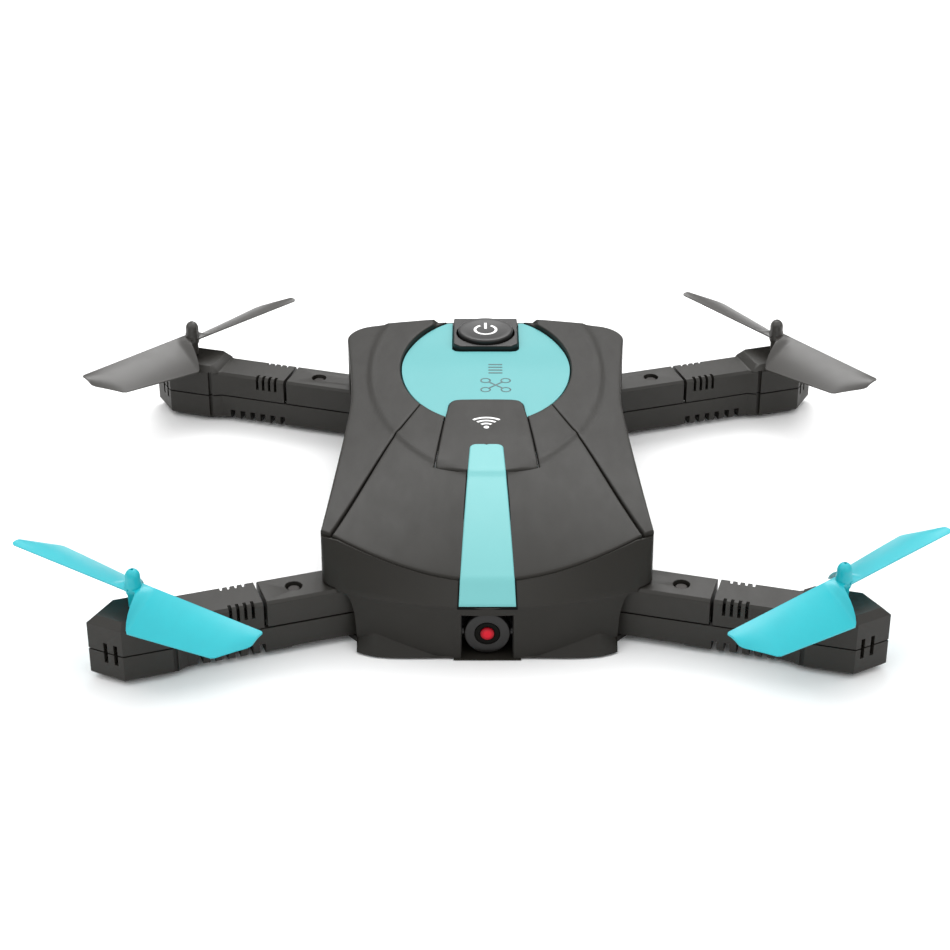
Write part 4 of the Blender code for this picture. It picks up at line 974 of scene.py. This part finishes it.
def blade_thickness(r, t):
    """Full in the middle of the chord, a third of that at the edges; thinner towards the tip."""
    body = 0.34 + 0.66 * np.sin(pi * np.clip(t, 0.02, 0.98)) ** 0.6
    return BLADE_THICK * body * (1 - 0.35 * r / PROP_R)


def blade(hand):
    """One blade along +X, with stations close together at the root and the tip, whose corners are rounded."""
    tip = [31.2, 31.4, 31.6, 31.75, 31.87, 31.96, PROP_R]
    r = np.concatenate([np.linspace(0, 6, 15), np.linspace(6.8, 31.0, 30), tip])[:, None]
    t = (0.5 - 0.5 * np.cos(np.linspace(0, pi, 17)))[None, :]
    round_off = 1 - np.sqrt(1 - np.clip(1 - (PROP_R - r) / TIP_ROUND, 0, 1) ** 2)
    t = t * (1 - 0.32 * round_off) + 0.16 * round_off
    middle = blade_points(hand, r, t) - (0, 0, 0.28)
    half = blade_thickness(r, t)[..., None] * (0, 0, 0.5)
    return closed_grids(middle + half, middle - half)


def turned_points(profile, sides=40):
    """A solid of revolution: profile (radius, height) points carried round the Z axis, with flat end caps."""
    turn = np.linspace(0, 2 * pi, sides, endpoint=False)
    profile = np.array(profile, float)
    circle = np.stack([np.cos(turn), np.sin(turn)], axis=1)
    heights = np.repeat(profile[None, :, 1:], sides, 0)
    points = np.concatenate([circle[:, None] * profile[None, :, :1], heights], axis=2)
    faces = quads(sides, len(profile), 0, True)
    number = np.arange(sides) * len(profile)
    caps = [number.tolist(), (number + len(profile) - 1).tolist()]
    faces += [cap for cap, r in zip(caps, profile[[0, -1], 0], strict=True) if r > 1e-6]
    return points.reshape(-1, 3), faces


def dome():
    """Stem, collar, dome with a fine crown hole, and the shaft's bore below."""
    stem = [(0.62, 16.5), (0.62, 15.0), (1.0, 14.85), (1.25, 15.0), (1.3, 17.6)]
    collar = [(1.55, 18.1), (1.7, 18.6), (1.7, 20.4), (1.55, 20.7)]
    foot = DOME_TOP - DOME_HEIGHT
    arc = [(DOME_R * cos(a), foot + DOME_HEIGHT * sin(a)) for a in np.linspace(0.0, 1.28, 10)]
    hole = [(0.36, DOME_TOP - 0.04), (0.30, DOME_TOP - 0.45), (0, DOME_TOP - 0.5)]
    return turned_points([*stem, *collar, *arc, *hole])


def turned_by(shape, degrees):
    """A shape turned about Z."""
    points, faces = shape
    c, s = cos(radians(degrees)), sin(radians(degrees))
    return points @ np.array([(c, s, 0), (-s, c, 0), (0, 0, 1)]), faces


def moved(shape, place):
    """A shape moved by place."""
    return shape[0] + np.array(place), shape[1]


for corner in CORNERS:
    low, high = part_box(f"{corner}_motor_shaft")
    hub = ((low[0] + high[0]) / 2 / MM, (low[1] + high[1]) / 2 / MM, 0.0)
    hand = 1 if corner in ("front_left", "rear_right") else -1
    line = PROP_LINES[corner]
    whole = joined(turned_by(blade(hand), line), turned_by(blade(hand), line + 180), dome())
    front = corner.startswith("front")
    prop = piece(f"{corner}_blades", *moved(whole, hub), BLADE_TEAL if front else BLADE_GREY,
                 f"{corner}_propeller_body", "propeller_teal" if front else "propeller_grey", 45.0)
    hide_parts(f"{corner}_propeller")
print("propeller", len(prop.data.polygons), "faces")

# %% [markdown]
# ## Camera and button
#
# Both are turned pieces: a profile carried round an axis. The camera's axis points out of the nose, and two
# trunnions across it carry the tilt. Its face is a flat disc with a rounded edge. A dark trim ring lies
# flush in it, and in the ring sits the red lens window, which bulges a fifth of a millimetre.

# %% The camera
CAMERA = (0.0, -52.0, 5.6)
DISC_R, DISC_FRONT, LENS_R = 4.7, 1.4, 1.4
LENS_BULGE = 0.22


def facing_forward(shape):
    """Turns +Z to -Y, out of the nose, and moves the shape to the tilt axis."""
    points, faces = shape
    return points @ np.array([(1, 0, 0), (0, 0, 1), (0, -1, 0)]) + CAMERA, faces


def lying(shape):
    """Turns +Z to +X, along the tilt axis."""
    points, faces = shape
    return points @ np.array([(0, 0, -1), (0, 1, 0), (1, 0, 0)]) + CAMERA, faces


ball = sqrt(DISC_R**2 + DISC_FRONT**2)
barrel = [(0, -4.2), (2.2, -4.2), (3.9, -2.9), (ball - 0.1, -0.6), (ball - 0.02, 0.5)]
disc_edge = [(DISC_R, 1.0), (DISC_R - 0.03, 1.25), (DISC_R - 0.1, 1.35), (DISC_R - 0.22, DISC_FRONT)]
seat = [(3.3, DISC_FRONT), (2.68, 1.38), (2.62, 1.3), (2.58, 0.25), (0, 0.22)]
housing = turned_points([*barrel, *disc_edge, *seat], 56)
pin_end = [(0.5, ball + 1.08), (0.9, ball + 0.9)]
trunnions = turned_points([(r, -z) for r, z in pin_end] + pin_end[::-1], 28)
camera_shape = joined(facing_forward(housing), lying(trunnions))
camera_body = piece("camera_body", *camera_shape, SMOOTH_BLACK, "camera", "body_black", 35.0)
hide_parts("camera_housing")
ring_inner = [(1.5, 0.5), (1.5, 1.25), (1.58, 1.36), (1.75, DISC_FRONT)]
ring_outer = [(2.35, DISC_FRONT), (2.48, 1.36), (2.53, 1.25), (2.53, 0.5)]
trim = turned_points([*ring_inner, *ring_outer], 48)
lens_rim = piece("lens_trim", *facing_forward(trim), RING_METAL, "camera", "lens_rim", 35.0)
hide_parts("lens_ring")
bulge = [(LENS_R * cos(a), 1.52 + LENS_BULGE * sin(a)) for a in np.linspace(0.15, 1.5, 9)]
window = turned_points([(LENS_R, 0.5), (LENS_R, 1.5), *bulge, (0, 1.52 + LENS_BULGE)], 48)
lens = piece("lens_window", *facing_forward(window), LENS_RED, "camera", "lens_glass", 35.0)
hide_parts("camera_lens")
print("camera disc", 2 * DISC_R, "mm across")

# %% The power button
BUTTON = (0.0, 45.6)
BUTTON_R, BUTTON_TOP, BUTTON_ROLL = 6.5, 27.4, 0.55
DISH = [(5.0, -0.05), (4.0, -0.14), (2.5, -0.22), (0, -0.26)]
stem_and_skirt = [(0, -8.2), (1.4, -8.2), (1.4, -4.4), (7.2, -4.4), (7.2, -3.6), (BUTTON_R, -3.6)]
turns = np.linspace(0, pi / 2, 7)[:-1]
edge = [(BUTTON_R - BUTTON_ROLL + BUTTON_ROLL * cos(a), -BUTTON_ROLL + BUTTON_ROLL * sin(a)) for a in turns]
cap = turned_points([*stem_and_skirt, *edge, (BUTTON_R - BUTTON_ROLL, 0.0), *DISH], 72)
cap = moved(cap, (*BUTTON, BUTTON_TOP))
button = piece("button_cap", *cap, SMOOTH_BLACK, "power_button", "body_black", 35.0)
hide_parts("power_button")
print("button", 2 * BUTTON_R, "mm across")

# %% [markdown]
# ## Printed signs
#
# The signs are pad-printed ink, a few hundredths of a millimetre thick. Each one is a flat ribbon along a
# curve, laid on the surface below it: the ribbon's points take the panel's height plus the ink's. The mode
# insert has signal arcs, the button has the usual power sign, and the cover has a small plan of a craft
# with four rotors and a row of bars.


# %% Ink on a surface
INK, INK_DEPTH = 0.05, 0.08
WHITE_LINE, ARM_LINE, RING_LINE, BAR_LINE = 0.62, 0.4, 0.32, 0.5
SIGNAL_PLACE, CRAFT_PLACE = (0, -2.6), (2.2, 19.0)


def ribbon(line, width, closed=False):
    """Left and right edges of a plan curve, offset by half the width along its normal."""
    line = np.array(line, float)
    slope = np.roll(line, -1, 0) - np.roll(line, 1, 0) if closed else np.gradient(line, axis=0)
    normal = np.stack([-slope[:, 1], slope[:, 0]], 1) / np.linalg.norm(slope, axis=1, keepdims=True)
    edges = [line + normal * width * k for k in (-0.5, -0.17, 0.17, 0.5)]
    grid = np.stack(edges, axis=1)
    return np.concatenate([grid, grid[:1]]) if closed else grid


def arc_line(centre, radius, start, stop, count=24):
    """Points on a circle between two angles in degrees."""
    a = np.radians(np.linspace(start, stop, count))
    return np.stack([centre[0] + radius * np.cos(a), centre[1] + radius * np.sin(a)], axis=1)


def inked(grids, height):
    """Closed thin skins over several plan grids, from a little below a surface to INK above it."""
    shapes = []
    for plan in grids:
        z = height(plan[..., 0], plan[..., 1])
        shapes.append(closed_grids(np.dstack([plan, z + INK]), np.dstack([plan, z - INK_DEPTH])))
    return joined(*shapes)


def disc_plan(centre, radius):
    """A small disc as a ribbon round its own centre."""
    return ribbon(arc_line(centre, radius / 2, 0, 345, 24), radius * 0.98, True)


def signal_sign(centre):
    """Three widening arcs over a dot."""
    arcs = [ribbon(arc_line(centre, r, 50, 130), WHITE_LINE) for r in (1.7, 3.1, 4.5)]
    return arcs + [disc_plan(centre, WHITE_LINE)]


def craft_sign(centre):
    """Crossed arms and four rotor rings, seen from above, with a row of four bars behind them."""
    x, y = centre
    arms = [ribbon([(x - 1.7 * s, y - 1.7), (x + 1.7 * s, y + 1.7)], ARM_LINE) for s in (1, -1)]
    rotors = [(x + 2.3 * i, y + 2.3 * j) for i in (1, -1) for j in (1, -1)]
    rings = [ribbon(arc_line(rotor, 1.05, 0, 348, 30), RING_LINE, True) for rotor in rotors]
    levels = [y + 6.2 + 1.5 * k for k in range(4)]
    bars = [ribbon([(x - 1.6, bar_y), (x + 1.6, bar_y)], BAR_LINE) for bar_y in levels]
    return arms + rings + bars


def on_mode(x, y):
    """The mode insert's own surface."""
    return canopy_height(x, y) + MODE_LIFT


def on_button(x, y):
    """The button's dished top, read from its profile."""
    radius = np.hypot(x - BUTTON[0], y - BUTTON[1])
    radii, depths = zip(*DISH[::-1], (BUTTON_R, 0.0), strict=True)
    return BUTTON_TOP + np.interp(radius, radii, depths)


signal_ink = inked(signal_sign(SIGNAL_PLACE), on_mode)
signal = piece("signal_sign", *signal_ink, PRINT_WHITE, "body", "sign_white")
craft_ink = inked(craft_sign(CRAFT_PLACE), cover_height)
craft = piece("craft_sign", *craft_ink, PRINT_DARK, "body", "sign_dark")
power = [ribbon(arc_line(BUTTON, 2.5, 120, 420, 48), WHITE_LINE)]
power.append(ribbon([(BUTTON[0], BUTTON[1] + 0.6 + 0.5 * k) for k in range(7)], WHITE_LINE))
mark = piece("power_sign", *inked(power, on_button), PRINT_WHITE, "power_button", "sign_white")
print("signs:", [len(o.data.polygons) for o in (signal, craft, mark)], "faces")

# %% [markdown]
# ## Floor, light and camera
#
# A pale floor, a white dome that is brighter overhead, and three big soft lights, as in a small product
# studio. The largest stands above and behind the tail, so that it grazes the dark plastic and shows its
# grain. The plain Standard view keeps the floor white and the colours as they were set. The camera stands
# in front of the nose and looks 29 degrees down.


# %% Floor and light
def pale(name):
    """Matt paper white with slow, faint clouds."""
    recipe = Recipe(name)
    tint = recipe.blend(recipe.noise(120.0), (0.92, 0.92, 0.92, 1.0), (0.95, 0.95, 0.95, 1.0))
    return recipe.surface(base_color=tint, roughness=0.9)


FLOOR_DROP = 0.00005   # keeps the floor clear of the drone's flat belly


def floor(size=3.0):
    """One large square just below height 0, in metres."""
    mesh = bpy.data.meshes.new("floor")
    corners = np.array([(-1, -1, 0), (1, -1, 0), (1, 1, 0), (-1, 1, 0)]) * size
    mesh.from_pydata(corners - (0, 0, FLOOR_DROP), [], [(0, 1, 2, 3)])
    mesh.materials.append(pale("pale_floor"))
    obj = bpy.data.objects.new("floor", mesh)
    bpy.context.scene.collection.objects.link(obj)


def soft_light(name, place, target, size, power):
    """A round area light that faces its target, in metres and watts."""
    light = bpy.data.lights.new(name, "AREA")
    light.shape, light.size, light.energy = "DISK", size, power
    obj = bpy.data.objects.new(name, light)
    obj.location = place
    obj.rotation_euler = (Vector(target) - Vector(place)).to_track_quat("-Z", "Y").to_euler()
    bpy.context.scene.collection.objects.link(obj)


def dome_world(name, horizon=0.12, zenith=1.80):
    """A white dome whose strength runs from horizon to zenith in proportion to a ray's upward share."""
    world = bpy.data.worlds.new(name)
    world.use_nodes = True
    tree = world.node_tree
    background = tree.nodes["Background"]
    background.inputs["Color"].default_value = (1.0, 1.0, 1.0, 1.0)
    direction, parts = tree.nodes.new("ShaderNodeTexCoord"), tree.nodes.new("ShaderNodeSeparateXYZ")
    ramp = tree.nodes.new("ShaderNodeMapRange")
    ramp.inputs["To Min"].default_value, ramp.inputs["To Max"].default_value = horizon, zenith
    tree.links.new(direction.outputs["Generated"], parts.inputs["Vector"])
    tree.links.new(parts.outputs["Z"], ramp.inputs["Value"])
    tree.links.new(ramp.outputs["Result"], background.inputs["Strength"])
    return world


floor()
bpy.context.scene.world = dome_world("studio")
bpy.context.scene.view_settings.view_transform = "Standard"
soft_light("overhead", (0.03, 0.42, 0.50), (0, 0.04, 0), 0.45, 2.2)
soft_light("left_front", (-0.85, -0.55, 0.75), (0, 0, 0), 0.7, 1.5)
soft_light("right_front", (0.85, -0.60, 0.60), (0, 0, 0), 0.7, 1.2)

# %% Camera
PITCH, FOCAL_MM, SENSOR_MM = radians(29.0), 84.9, 36.0
EYE = (-2.5, -437.0, 255.2)
camera_data = bpy.data.cameras.new("camera")
camera_data.lens, camera_data.sensor_width = FOCAL_MM, SENSOR_MM
camera = bpy.data.objects.new("camera", camera_data)
camera.location = np.array(EYE) * MM
camera.rotation_euler = (pi / 2 - PITCH, 0.0, 0.0)
bpy.context.scene.collection.objects.link(camera)
bpy.context.scene.camera = camera
